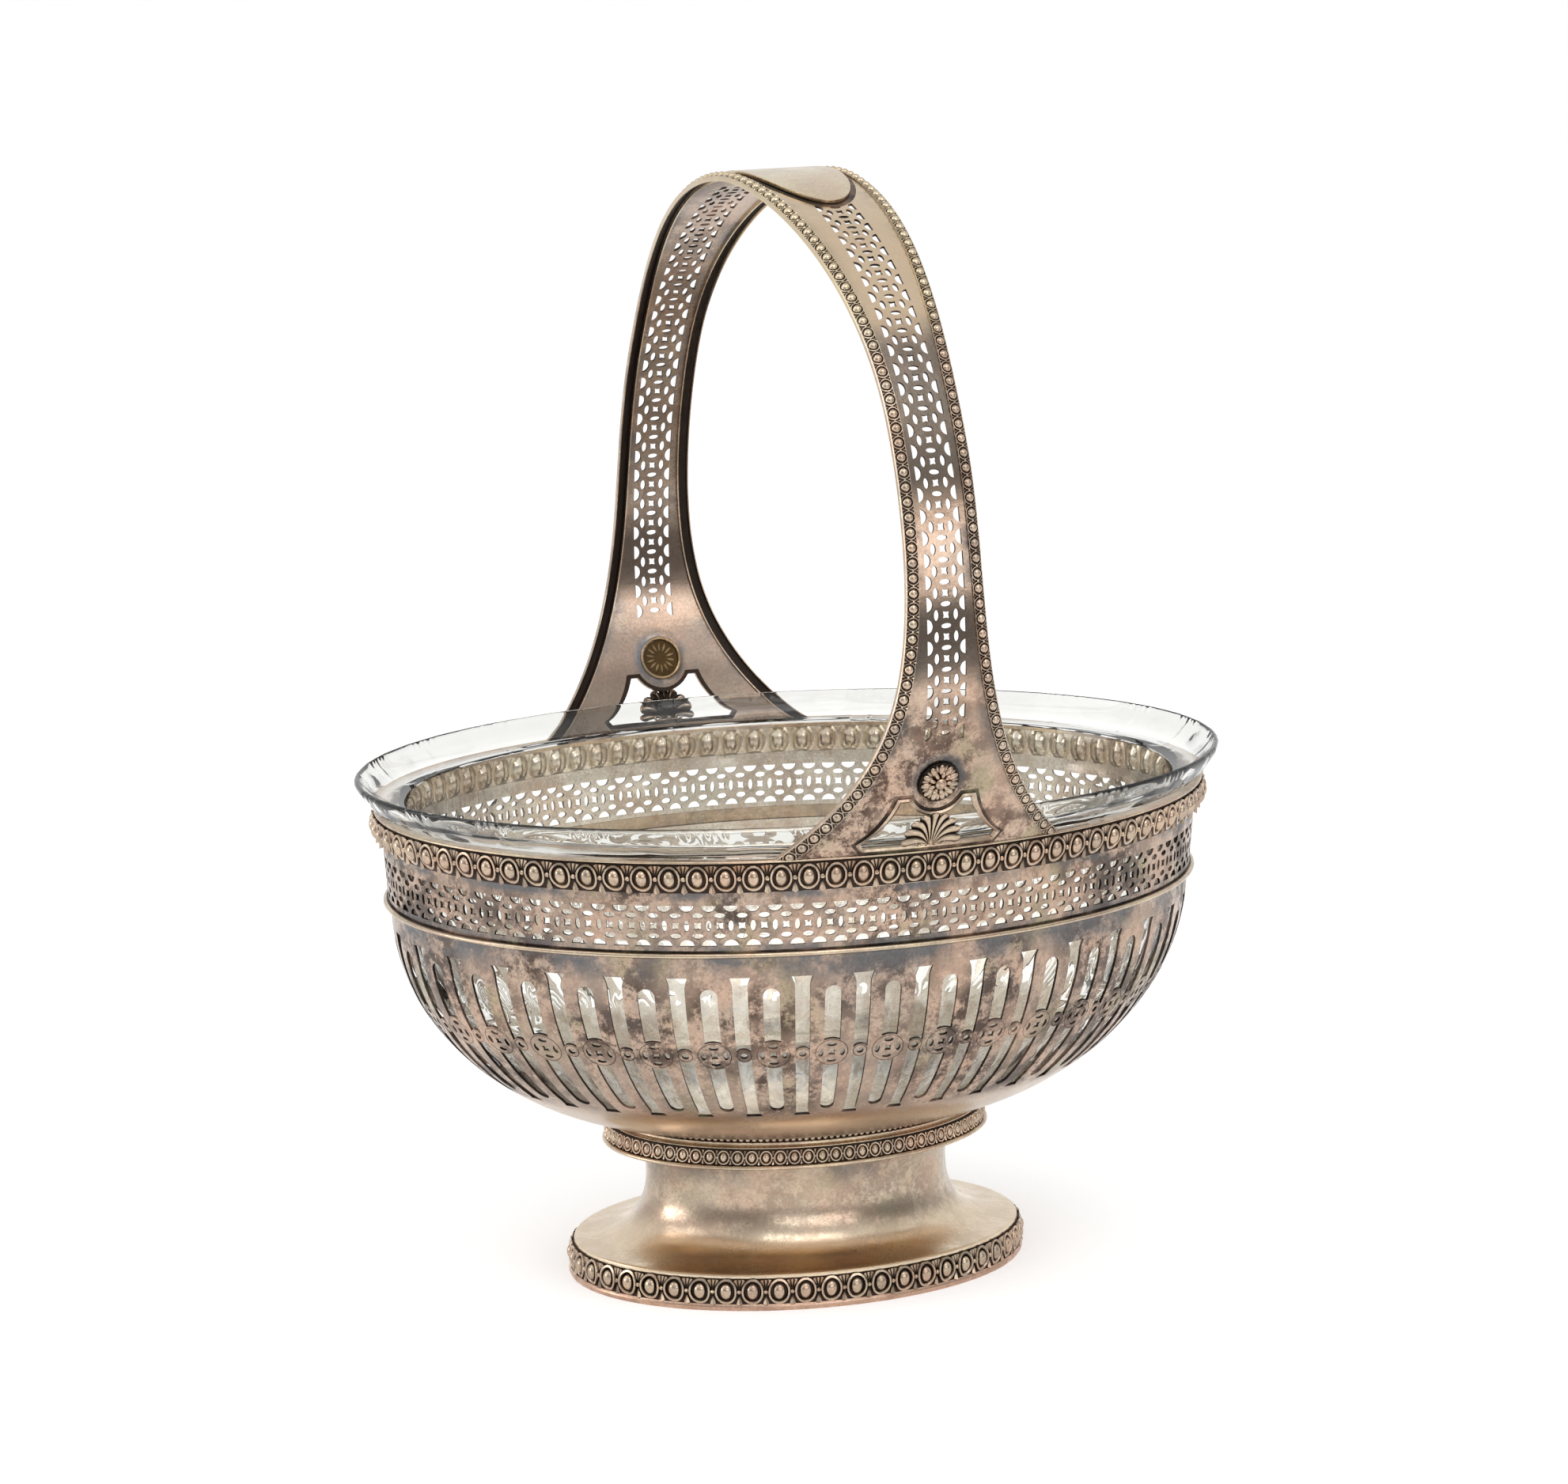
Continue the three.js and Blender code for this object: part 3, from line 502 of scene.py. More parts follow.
lip_profile = [(neck_top - sheet, neck_top_z), (collar_lip_outer - 2.6, neck_top_z)]
curved(lip_profile, (collar_lip_outer + 0.3, neck_top_z), (collar_lip_outer, 36.8), 8)
curved(lip_profile, (collar_lip_outer, 37.3), (collar_lip_outer - 0.9, 37.35), 4)
lip_profile += [(collar_band_outer - 1.0, 37.4), (neck_top - sheet, collar_band_z)]
collar_lip = turned("collar_rounded_lip", lip_profile)

collar_ground = turned("collar_egg_ground", [
    (collar_inner, collar_band_z), (collar_band_outer - 0.25, 37.45), (collar_band_outer - 0.3, 39.4),
    (collar_band_outer - 0.7, 41.4), (collar_inner, collar_step_z)])
collar_pitch = oval_length(collar_band_outer) / collar_egg_count
collar_eggs = egg_and_dart(collar_pitch, 3.9, (1.9, 2.7), (3.1, 3.5), 0.3, 0.85, fine=False)
climb = np.linspace(0, 4.0, 6)
strip_of(collar_eggs, (-0.1, 0.36), collar_egg_count, collar_pitch,
         climb, collar_band_outer - 0.15 - 0.12 * climb, climb + 37.45)
collar_strip = joined("collar_egg_strip", collar_eggs, collar_ground)

step_profile = [(collar_inner, collar_step_z), (collar_step_outer + 1.1, 41.42)]
curved(step_profile, (collar_step_outer + 1.4, 41.8), (collar_step_outer + 0.8, 42.0), 4)
curved(step_profile, (collar_step_outer - 0.6, 42.1), (collar_step_outer - 0.2, pearl_z), 8)
step_profile += [(collar_inner, pearl_z)]
collar_step = turned("collar_hollow_step", step_profile)

pearl_pitch = oval_length(pearl_centre) / pearl_count
clear_bench()
pearls = bead((pearl_pitch / 2, 0, 0.75), (0.66, 0.66, 0.68))
strip_of(pearls, (-0.1, 0.5), pearl_count, pearl_pitch,
         [0, 2], [pearl_centre + 0.5] * 2, [pearl_z, pearl_z + 2])
pearl_ground = turned("pearl_ground", [
    (collar_inner, pearl_z), (pearl_centre + 0.1, pearl_z), (pearl_centre - 0.2, 43.7),
    (pearl_centre + 0.1, bowl_z), (collar_inner, bowl_z)])
pearl_wire = joined("collar_bead_row", pearls, pearl_ground)

finished(collar_lip, "basket", "raised_silver", ["collar_lip"], raised_silver)
finished(collar_strip, "basket", "stamped_silver", ["collar_egg_band"], stamped_silver)
finished(collar_step, "basket", "raised_silver", ["collar_step"], raised_silver)
finished(pearl_wire, "basket", "stamped_silver", ["collar_pearl_wire"], stamped_silver)


# Bowl
# Sheet silver raised to a deep oval and sawn out in tall slots. Every second slot is broken by a
# small ring, and the others by a disc with a square and four ovals. The saw's edges are dark.
bowl_top_z = 103.4
# Below 59 mm the bowl is blended to a pale tone: painted reflection of the bright floor.
bowl_silver = silver("bowl_silver", (184, 162, 144), (90, 76, 68), (110, 108, 108), amounts=(1.0, 0.3),
                     shaded=True, height_tone=((226, 211, 194), 0.059, 0.054))
sawn_edge = silver("sawn_edge", (66, 56, 50), (42, 36, 33), (60, 60, 62), amounts=(0.8, 0.3), polish=0.45)
# The inside faces of the pierced sheets are a far paler silver than the outside: painted light on the inside
# behind the glass.
lit_inner_silver = silver("lit_inner_silver", (255, 248, 238), (236, 222, 204), (234, 228, 220), amounts=(0.35, 0.3),
                      polish=0.22)
bowl_neck = 50.0
bowl_widest = 110.4
bowl_fullness = 1.95
bowl_belly = 1.7
slot_pairs = 38
ring_slot_width = 4.0
ring_slot_flare = 5.7
disc_slot_width = 4.5
rings_z = 77.6
ring_radius = 1.85
ring_hole = 0.95
disc_radius = 4.35

rise_steps = np.linspace(0, 1, 400) ** 2
wall_heights = bowl_z + (bowl_top_z - bowl_z) * rise_steps
wall_swell = (1 - (1 - rise_steps) ** bowl_fullness) ** (1 / bowl_belly)
wall_half = bowl_neck + (bowl_widest - bowl_neck) * wall_swell
bowl_half = np.concatenate([[0.0], wall_half])
bowl_heights = np.concatenate([[bowl_z], wall_heights])
bowl_climbs = np.concatenate([[0.0], np.cumsum(np.hypot(np.diff(bowl_half), np.diff(bowl_heights)))])
pair_width = oval_length(bowl_widest) / slot_pairs


def climb_to(z):
    return float(np.interp(z, wall_heights, bowl_climbs[1:]))


def widening_at(z):
    """How much wider a shape is drawn on the flat strip to come out true at this height."""
    return bowl_widest / float(np.interp(z, wall_heights, wall_half))


def moved(piece, axis, way):
    found = places(piece)
    found[:, axis] += way
    put(piece, found)


def coated(piece, finishes, choice=None):
    """Gives a piece its materials, and each of its faces the one that is chosen for it."""
    for finish in finishes:
        piece.data.materials.append(finish)
    if choice:
        for face in piece.data.polygons:
            face.material_index = choice(face)


def flat_sheet(width, height, columns, rows, thickness=0.7, left=0.0):
    """A flat sheet with its front to -Y and its bottom edge on the X axis, closed at both ends."""
    clear_bench()
    bpy.ops.mesh.primitive_grid_add(x_subdivisions=columns, y_subdivisions=rows, size=1)
    plate = shaped((left + width / 2, 0, height / 2), (width, height, 1), (math.pi / 2, 0, 0))
    return modified(plate, "SOLIDIFY", thickness=thickness, offset=-1)


def punches(outlines, front=-3.0, depth=8.0):
    """Punches that stand through a flat sheet, one for each outline of (x, z) corners."""
    clear_bench()
    for i, outline in enumerate(outlines):
        bpy.ops.mesh.primitive_circle_add(vertices=len(outline), radius=1, fill_type="NGON")
        if i == 0:
            tool = bpy.context.active_object
            bpy.ops.object.mode_set(mode="EDIT")
    bpy.ops.object.mode_set(mode="OBJECT")
    put(tool, np.array([(x, front, z) for outline in outlines for x, z in outline]))
    opened(tool)
    bpy.ops.mesh.extrude_region_move(TRANSFORM_OT_translate={"value": (0, depth, 0)})
    return faced_out(tool)


def cut_with(plate, tool, operation="DIFFERENCE"):
    modified(plate, "BOOLEAN", operation=operation, object=tool, solver="EXACT")
    bpy.data.objects.remove(tool)


def punched(plate, outlines, operation="DIFFERENCE"):
    cut_with(plate, punches(outlines), operation)


def oval_hole(x, z, width, height, corners=14):
    turns = [2 * math.pi * (i + 0.5) / corners for i in range(corners)]
    return [(x + width / 2 * math.cos(t), z + height / 2 * math.sin(t)) for t in turns]


def square_hole(x, z, width, height):
    """A square with its sides drawn in a little."""
    corners = []
    for a, b in ((-1, -1), (0, -0.8), (1, -1), (0.8, 0), (1, 1), (0, 0.8), (-1, 1), (-0.8, 0)):
        corners.append((x + a * width / 2, z + b * height / 2))
    return corners


def blackened_edges(plate, low, high, finish, axis=0):
    """Opens the two ends of a flat sheet, so that copies join, and marks its sawn walls as dark."""
    # Front faces take the piece's silver and walls the dark sawn edge. Back faces take the paler inside
    # silver, which is painted light.
    coated(plate, (finish, sawn_edge, lit_inner_silver),
           lambda face: 1 if abs(face.normal.y) < 0.5 else (0 if face.normal.y < 0 else 2))
    opened(plate)
    bpy.ops.mesh.select_mode(type="FACE")
    bpy.ops.mesh.select_all(action="DESELECT")
    bpy.ops.object.mode_set(mode="OBJECT")
    for face in plate.data.polygons:
        at_end = min(abs(face.center[axis] - low), abs(face.center[axis] - high)) < 0.01
        face.select = at_end and abs(face.normal[axis]) > 0.99
    bpy.ops.object.mode_set(mode="EDIT")
    bpy.ops.mesh.delete(type="FACE")
    bpy.ops.mesh.select_mode(type="VERT")
    clear_bench()


def slot_outline(x, end, disc, width, bite, stretch, flare=0.0):
    """A slot from its outer end to the disc that bites into its inner end."""
    side = width / 2
    way = 1 if end > disc else -1
    half = []
    if flare:
        for i in range(6):
            t = i / 5
            half.append((side + (flare / 2 - side) * (1 - t) ** 2, end - way * 3.2 * t))
    else:
        for i in range(7):
            t = math.pi / 2 * (1 - i / 6)
            half.append((side * math.cos(t), end - way * side * (1 - math.sin(t))))
    span = math.asin(side / (bite * stretch))
    for i in range(5):
        t = span * (1 - i / 4)
        half.append((bite * stretch * math.sin(t), disc + way * bite * math.cos(t)))
    mirrored = [(-a, b) for a, b in reversed(half[:-1])]
    whole = half + (mirrored if flare else mirrored[:-1])
    return [(x + a, b) for a, b in whole]


ring_x = pair_width / 4
disc_x = pair_width * 3 / 4
middle_climb = climb_to(rings_z)
stretch = widening_at(rings_z)
slots = []
for ring_end, disc_end in ((99.6, 96.6), (57.7, 59.6)):
    slots.append(slot_outline(
        ring_x, climb_to(ring_end), middle_climb, ring_slot_width, 2.2, stretch, ring_slot_flare))
    slots.append(slot_outline(
        disc_x, climb_to(disc_end), middle_climb, disc_slot_width, disc_radius + 0.3, stretch))
slots.append(oval_hole(ring_x, middle_climb, ring_hole * 2 * stretch, ring_hole * 2, 12))
slots.append(square_hole(disc_x, middle_climb, 1.75 * stretch, 1.8))
for way in (1, -1):
    slots.append(oval_hole(disc_x, middle_climb + way * 2.75, 2.5 * stretch, 1.3))
    slots.append(oval_hole(disc_x - way * 2.85 * stretch, middle_climb, 1.3 * stretch, 2.6))
bowl_wall = flat_sheet(pair_width, float(bowl_climbs[-1]), 12, 54)
punched(bowl_wall, slots)
blackened_edges(bowl_wall, 0, pair_width, bowl_silver)
for x, radius in ((ring_x, ring_radius), (disc_x, disc_radius - 0.05)):
    clear_bench()
    line = hoop((x, 0, middle_climb), radius * 2 * stretch, radius * 2, 0.11, 24, 4, 0.5)
    coated(line, (bowl_silver, sawn_edge), lambda face: 1)
    joined("bowl_wall", bowl_wall, line)
repeated(bowl_wall, slot_pairs, pair_width)
moved(bowl_wall, 0, -ring_x)
laid_on_oval(bowl_wall, pair_width * slot_pairs, bowl_climbs, bowl_half, bowl_heights)
bowl_wall.name = "bowl_pierced_wall"
height = places(bowl_wall)[:, 2]
# Bloom on the bowl's top, under the shoulder wire: partly painted shade.
mark_area(bowl_wall, "bloom_and_shade", 0.75 * held((height - 98) / 4))
# Tarnish is taken off at the bowl's bottom: painted reflection of the floor.
mark_area(bowl_wall, "cleaned_for_sheen", 0.8 * held((60 - height) / 4))
finished(bowl_wall, "basket", "raised_silver", ["bowl_shell"], bowl_silver, sawn_edge, lit_inner_silver)


# Gallery and shoulder
# A straight-sided strip, pierced in a fret of squares, ovals and half rounds, stands on a rounded
# step wire that covers its joint with the bowl.
gallery_z = 107.0
gallery_top_z = 122.3
gallery_foot = 111.2
gallery_top = 112.4
fret_units = 110
fret_middle = 6.55

shoulder_profile = [
    (gallery_foot - sheet, bowl_top_z), (bowl_widest, bowl_top_z), (bowl_widest + 0.25, 104.6)]
curved(shoulder_profile, (bowl_widest + 0.4, 105.1), (gallery_foot + 0.5, 105.15), 4)
curved(shoulder_profile, (gallery_foot + 1.45, 105.2), (gallery_foot + 1.4, 105.8), 5)
curved(shoulder_profile, (gallery_foot + 1.35, 106.35), (gallery_foot + 0.5, 106.45), 5)
shoulder_profile += [
    (gallery_foot - 0.25, 106.5), (gallery_foot - 0.25, gallery_z), (gallery_foot - sheet, gallery_z)]
shoulder = turned("shoulder_step_wire", shoulder_profile)
# Above 106.46 mm the groove under the gallery is in the dark sawn edge: painted shadow under the gallery. The
# ledge is plain raised silver. Below it the wire is bowl silver with bloom all over, which is partly painted
# shade.
coated(shoulder, (bowl_silver, sawn_edge, raised_silver),
       lambda face: 1 if face.center.z > 106.46 else (2 if face.center.z > 105.12 else 0))
mark_area(shoulder, "bloom_and_shade", 0.8 * np.ones(len(shoulder.data.vertices)))
finished(shoulder, "basket", "raised_silver", ["shoulder_wire"], bowl_silver, sawn_edge, raised_silver)


def fret_holes(pitch, middle):
    """One unit of the fret: a square with an oval over and under it, and between the squares an
    upright oval with half rounds over and under it."""
    holes = [
        square_hole(pitch / 2, middle, 1.85, 1.9),
        oval_hole(pitch / 2, middle + 2.7, 2.85, 1.5),
        oval_hole(pitch / 2, middle - 2.7, 2.85, 1.5),
    ]
    for end in (0, pitch):
        holes.append(oval_hole(end, middle, 1.35, 2.95))
        for way in (-1, 1):
            half_round = [(end + 1.9 * math.cos(t), middle + way * (5.35 - 1.75 * math.sin(t)))
                          for t in np.linspace(0, math.pi, 10)]
            holes.append(half_round)
    return holes


fret_pitch = oval_length(gallery_foot + 0.6) / fret_units
gallery = flat_sheet(fret_pitch, gallery_top_z - gallery_z, 4, 12)
punched(gallery, fret_holes(fret_pitch, fret_middle))
blackened_edges(gallery, 0, fret_pitch, bowl_silver)
repeated(gallery, fret_units, fret_pitch)
laid_on_oval(gallery, fret_pitch * fret_units, [0, gallery_top_z - gallery_z],
             [gallery_foot, gallery_top], [gallery_z, gallery_top_z])
gallery.name = "gallery_fret"
height = places(gallery)[:, 2]
# Bloom under the rim's band and over the shoulder wire: partly painted shade.
mark_area(gallery, "bloom_and_shade", 0.9 * held((height - 119.8) / 1.6) + 0.7 * held((108.8 - height) / 0.8))
finished(gallery, "basket", "raised_silver", ["gallery_band"], bowl_silver, sawn_edge, lit_inner_silver)


# Rim
# A heavy stamped strip of eggs and darts hangs outside the gallery's top, hollow behind, with its
# reverse showing inside the basket, and a narrow polished lip closes it.
rim_band_z = gallery_top_z
rim_lip_z = 129.5
rim_top_z = 130.8
rim_lip_outer = 115.0
rim_inner = 110.2
rim_egg_count = 90

rim_height = rim_lip_z - rim_band_z
climb = np.linspace(0, rim_height, 12)
rim_swell = 4 * (climb / rim_height) * (1 - climb / rim_height)
rim_base = gallery_top + 0.5 + 0.9 * rim_swell + 0.2 * climb
rim_ground_profile = [(rim_inner + 1.9, rim_band_z)]
rim_ground_profile += list(zip((rim_base - 0.12).tolist(), (climb + rim_band_z).tolist()))
rim_ground_profile += [(rim_lip_outer - 1.3, 130.1), (rim_inner + 1.9, 130.1)]
rim_ground = turned("rim_egg_ground", rim_ground_profile)
rim_pitch = oval_length(rim_lip_outer - 1) / rim_egg_count
rim_eggs = egg_and_dart(rim_pitch, rim_height - 0.3, (3.2, 4.3), (5.15, 5.9), 0.46, 1.5)
strip_of(rim_eggs, (0.2, 0.85), rim_egg_count, rim_pitch, climb, rim_base, climb + rim_band_z + 0.6)

# The rim band's reverse, inside behind the glass, is a far paler silver than its front: painted light.
lit_reverse_silver = silver("lit_reverse_silver", (255, 246, 230), (236, 220, 198), amounts=(0.3, 0.1),
                        hollow=(226, 206, 176), bump=0.06)
reverse = flat_sheet(rim_pitch, rim_height, 14, 12, 0.4)
found = places(reverse)
across = np.abs(found[:, 0] - rim_pitch / 2)
over = found[:, 2] - rim_height / 2
egg_hollow = held(1 - (across / 1.8) ** 2 - (over / 2.9) ** 2) ** 0.5
ring_hollow = np.exp(-((np.hypot(across / 2.75, over / 3.2) - 1) / 0.11) ** 2)
found[:, 1] += np.where(found[:, 1] < 0.2, 1.2 - 1.1 * egg_hollow - 0.5 * ring_hollow, 1.6)
put(reverse, found)
mark_area(reverse, "relief", 0.5 + 0.5 * egg_hollow - 0.45 * ring_hollow)
coated(reverse, (stamped_silver, lit_reverse_silver), lambda face: 1)
repeated(reverse, rim_egg_count, rim_pitch)
put(reverse, places(reverse) * (1, -1, 1))
laid_on_oval(reverse, rim_pitch * rim_egg_count, [0, rim_height],
             [rim_inner, rim_inner], [rim_band_z, rim_lip_z])
faced_out(reverse)
for piece in (rim_eggs, rim_ground):
    coated(piece, (stamped_silver,))
rim_strip = joined("rim_egg_strip", rim_eggs, rim_ground, reverse)
finished(rim_strip, "basket", "stamped_silver", ["rim_egg_band"], stamped_silver, lit_reverse_silver)

rim_lip_profile = [(rim_inner, rim_lip_z), (rim_lip_outer - 1.5, rim_lip_z + 0.5)]
curved(rim_lip_profile, (rim_lip_outer - 0.2, 130.0), (rim_lip_outer - 0.3, 130.4), 4)
curved(rim_lip_profile, (rim_lip_outer - 0.3, rim_top_z), (rim_lip_outer - 1.0, rim_top_z), 4)
rim_lip_profile += [(rim_inner + 0.4, rim_top_z), (rim_inner, rim_top_z - 0.4)]
rim_lip = turned("rim_polished_lip", rim_lip_profile)
finished(rim_lip, "basket", "raised_silver", ["rim_lip"], raised_silver)


# Handle strap
# A long strap of sheet silver, pierced in the same fret, bent to an arch and spread at each foot
# into a wing that is soldered to the rim. Each wing has an opening and a hole for its rosette.
arch_top_z = 295.0
# Towards the arch's top, the handle and its borders are blended to a lighter, warmer tone.
handle_silver = silver("handle_silver", (196, 172, 152), (92, 72, 62), (92, 91, 90), amounts=(1.0, 0.2),
                       polish=0.16, shaded=True, height_tone=((216, 196, 164), 0.258, 0.268), painted_shade=(92, 86, 79))
strap_inner_silver = silver("strap_inner_silver", (194, 174, 156), (92, 78, 70), amounts=(0.6, 0.25),
                            shaded=True, painted_shade=(96, 84, 75))
border_silver = silver("border_silver", (204, 186, 164), amounts=(0.35, 0.2), hollow=(58, 50, 45), bump=0.08,
                       height_tone=((216, 199, 166), 0.258, 0.268))
span_z = 182.2
strap_foot_y = (rim_lip_outer - 0.6) * plan_ratio
arch_half_span = 100.0
arch_shoulder = 28.0
arch_fall = 95.0
leg_rise = 20.0
leg_lean = 8.0
strap_half_width = 10.3
strap_top_half_width = 17.0
wing_half_width = 39.6
wing_height = 110.0
wing_power = 4.45
border_width = 3.2
fret_half_width = 6.3
fret_start_z = 163.0
cartouche_clear = 33.0
strap_fret_units = 28
rosette_height = 18.9
rosette_hole = 10.9
opening_base = 18.5
opening_corner = 20.3
opening_top = 10.9
opening_low = 0.7
opening_high = 15.2
rosette_land = 7.9


def swept(corners, steps=1500):
    t = np.linspace(0, 1, steps)[:, None]
    a, b, c, d = [np.array(corner, dtype=float) for corner in corners]
    return a * (1 - t) ** 3 + 3 * b * t * (1 - t) ** 2 + 3 * c * t * t * (1 - t) + d * t ** 3


arch_path = np.concatenate([
    swept([(0, arch_top_z), (arch_shoulder, arch_top_z),
           (arch_half_span, span_z + arch_fall), (arch_half_span, span_z)]),
    swept([(arch_half_span, span_z), (arch_half_span, span_z - leg_rise),
           (strap_foot_y + leg_lean, rim_top_z + leg_rise), (strap_foot_y, rim_top_z)])[1:],
])
foot_run = arch_path[-1] - arch_path[-20]
arch_path = np.concatenate([arch_path, arch_path[-1:] + foot_run / np.hypot(*foot_run) * 12.0])
arch_run = np.concatenate([[0], np.cumsum(np.hypot(*np.diff(arch_path, axis=0).T))])
half_arch = arch_run[-1] - 12.0


def arch_height(along):
    return np.interp(np.abs(along), arch_run, arch_path[:, 1])


def along_at(z):
    """Distance along the front leg, below zero, at which the strap is at a height."""
    return -float(np.interp(-z, -arch_path[:, 1], arch_run))


def strap_half(along):
    z = arch_height(along)
    flare_z = rim_top_z + wing_height
    down = np.maximum((flare_z - z) / wing_height, 0)
    rise = np.maximum((z - flare_z) / (arch_top_z - flare_z), 0)
    wing = (wing_half_width - strap_half_width) * down ** wing_power
    return strap_half_width + wing + (strap_top_half_width - strap_half_width) * rise ** 2


def strap_slope(along):
    return (strap_half(along + 0.2) - strap_half(along - 0.2)) / 0.4


def strap_face(across, along):
    y = np.interp(np.abs(along), arch_run, arch_path[:, 0])
    z = arch_height(along)
    t = held((span_z - z) / (span_z - rim_top_z))
    follow = t * t * (3 - 2 * t)
    sag = rim_lip_outer * plan_ratio * (1 - np.sqrt(1 - np.minimum(np.abs(across) / rim_lip_outer, 0.9) ** 2))
    side = np.sign(along)
    return np.stack([across, side * (y - sag * follow), z], axis=-1)


def on_strap(across, along, out):
    face = strap_face(across, along)
    run_across = strap_face(across + 0.1, along) - strap_face(across - 0.1, along)
    run_along = strap_face(across, along + 0.1) - strap_face(across, along - 0.1)
    facing = np.cross(run_across, run_along)
    facing /= np.linalg.norm(facing, axis=-1, keepdims=True)
    return face + facing * out[:, None]


def inner_edge(along):
    """Half the width between the two borders."""
    return strap_half(along) - (border_width - 0.2) * np.hypot(1, strap_slope(along))


def laid_on_strap(piece):
    """Bends a flat piece to the handle: x runs across it, z along it, and its front is the outside."""
    x, y, z = places(piece).T
    put(piece, on_strap(x, z, -y))
    return merged(piece)


def spread_margins(piece, inner, outer):
    """Stretches a flat strip's plain margins out to the borders, and leaves its fret as it is."""
    found = places(piece)
    x = found[:, 0]
    share = held((np.abs(x) - inner) / (outer - inner))
    reach = np.where(np.abs(x) > inner, inner + share * (inner_edge(found[:, 2]) - inner), np.abs(x))
    found[:, 0] = np.sign(x) * reach
    put(piece, found)


def turned_half(piece, name):
    """A copy on the back of the basket, turned half a turn about the upright axis."""
    pick(piece)
    bpy.ops.object.duplicate()
    twin = bpy.context.active_object
    twin.name = name
    twin.data.transform(Matrix.Rotation(math.pi, 4, "Z"))
    return twin


def finished_pair(front, slot, node, *finishes, turn=shine_turn):
    """Finishes a piece of the front wing, and a copy of it on the back wing."""
    back = turned_half(front, front.name.replace("front", "back"))
    for piece, side in ((front, "front"), (back, "back")):
        finished(piece, "basket", slot, [node + "_" + side], *finishes, turn=turn)


fret_from = along_at(fret_start_z)
strap_pitch = (-cartouche_clear - fret_from) / strap_fret_units
flat_half = fret_half_width + 2.0

turned_holes = [[(z, x) for x, z in hole] for hole in fret_holes(strap_pitch, 0.0)]
end_holes = turned_holes[3:6]
strap_unit = flat_sheet(flat_half * 2, strap_pitch, 12, 4, left=-flat_half)
punched(strap_unit, turned_holes)
blackened_edges(strap_unit, 0, strap_pitch, handle_silver, axis=2)
repeated(strap_unit, strap_fret_units, strap_pitch, axis=2)
moved(strap_unit, 2, fret_from)
spread_margins(strap_unit, fret_half_width, flat_half)
laid_on_strap(strap_unit)
strap_back = turned_half(strap_unit, "strap_back")

strap_top = flat_sheet(flat_half * 2, cartouche_clear * 2, 12, 40, left=-flat_half)
moved(strap_top, 2, -cartouche_clear)
for end in (-cartouche_clear, cartouche_clear):
    punched(strap_top, [[(x, z + end) for x, z in hole] for hole in end_holes])
blackened_edges(strap_top, -cartouche_clear, cartouche_clear, handle_silver, axis=2)
spread_margins(strap_top, fret_half_width, flat_half)
laid_on_strap(strap_top)


def spaced(outline, step):
    """An outline with further corners, so that it can follow a bent sheet."""
    corners = []
    for (x, z), (next_x, next_z) in zip(outline, outline[1:] + outline[:1]):
        count = max(1, round(math.hypot(next_x - x, next_z - z) / step))
        corners += [(x + (next_x - x) * i / count, z + (next_z - z) * i / count) for i in range(count)]
    return corners


def opening_outline(inset):
    """The opening of a wing in (across, height over the rim): pointed corners, hollow sides, two
    short flats and a round bite under the rosette."""
    bite = rosette_land + inset
    high = opening_high - inset
    bite_half = math.sqrt(bite ** 2 - (rosette_height - high) ** 2)
    start = math.atan2(high - rosette_height, bite_half)
    low = opening_low + inset
    half = [(opening_base - inset * 0.5, low), (opening_corner - inset * 1.3, 3.1 + inset * 0.1)]
    corner = (opening_corner - inset * 1.3, 3.1)
    curved(half, (13.3 - inset, 7.2), (opening_top - inset, high), 8, start=corner)
    turns = np.linspace(start, -math.pi / 2, 7)
    half += [(bite * math.cos(t), rosette_height + bite * math.sin(t)) for t in turns]
    return half + [(-x, z) for x, z in reversed(half[:-1])]


wing_bottom = -half_arch - 1.0
wing_length = fret_from - wing_bottom
wing = flat_sheet(2.0, wing_length, 46, 30, left=-1.0)
found = places(wing)
found[:, 2] += wing_bottom
found[:, 0] *= inner_edge(found[:, 2])
put(wing, found)
punched(wing, [[(x, z + fret_from) for x, z in hole] for hole in end_holes])
found = places(wing)
rosette_along = along_at(rim_top_z + rosette_height)
from_rosette = np.hypot(found[:, 0], found[:, 2] - rosette_along)
found[:, 1] += 0.8 * held(1 - ((from_rosette - 5.0) / 2.4)) ** 2
put(wing, found)
blackened_edges(wing, wing_bottom, fret_from, handle_silver, axis=2)
laid_on_strap(wing)
for outline in (opening_outline(0.0), oval_hole(0, rosette_height, rosette_hole, rosette_hole, 32)):
    tool = punches([[(x, rim_top_z + z) for x, z in outline]], front=-strap_foot_y - 25, depth=50)
    coated(tool, (sawn_edge,))
    cut_with(wing, tool)
sliced(wing, (0, 0, rim_top_z), (0, 0, 1), closed=True)
wing_back = turned_half(wing, "wing_back")
strap = joined("handle_pierced_strap", strap_unit, strap_back, strap_top, wing, wing_back)
found = places(strap)
along = np.interp(-found[:, 2], -arch_path[:, 1], arch_run)
from_edge = strap_half(along) - np.abs(found[:, 0]) - border_width
around_rosette = np.hypot(found[:, 0], found[:, 2] - rim_top_z - rosette_height)
level = found[:, 2]
# Bands of painted shade by height on each leg and wing, grey where they are marked.
front_painted_shade = np.interp(level, [174, 181, 194, 200, 220, 227, 258, 267], [0, 0.75, 0.75, 0, 0, 0.85, 0.85, 0])
back_painted_shade = np.interp(level, [146, 151, 165, 171, 184, 192, 250, 270], [0.5, 0, 0, 0.9, 0.9, 0.4, 0.4, 0.1])
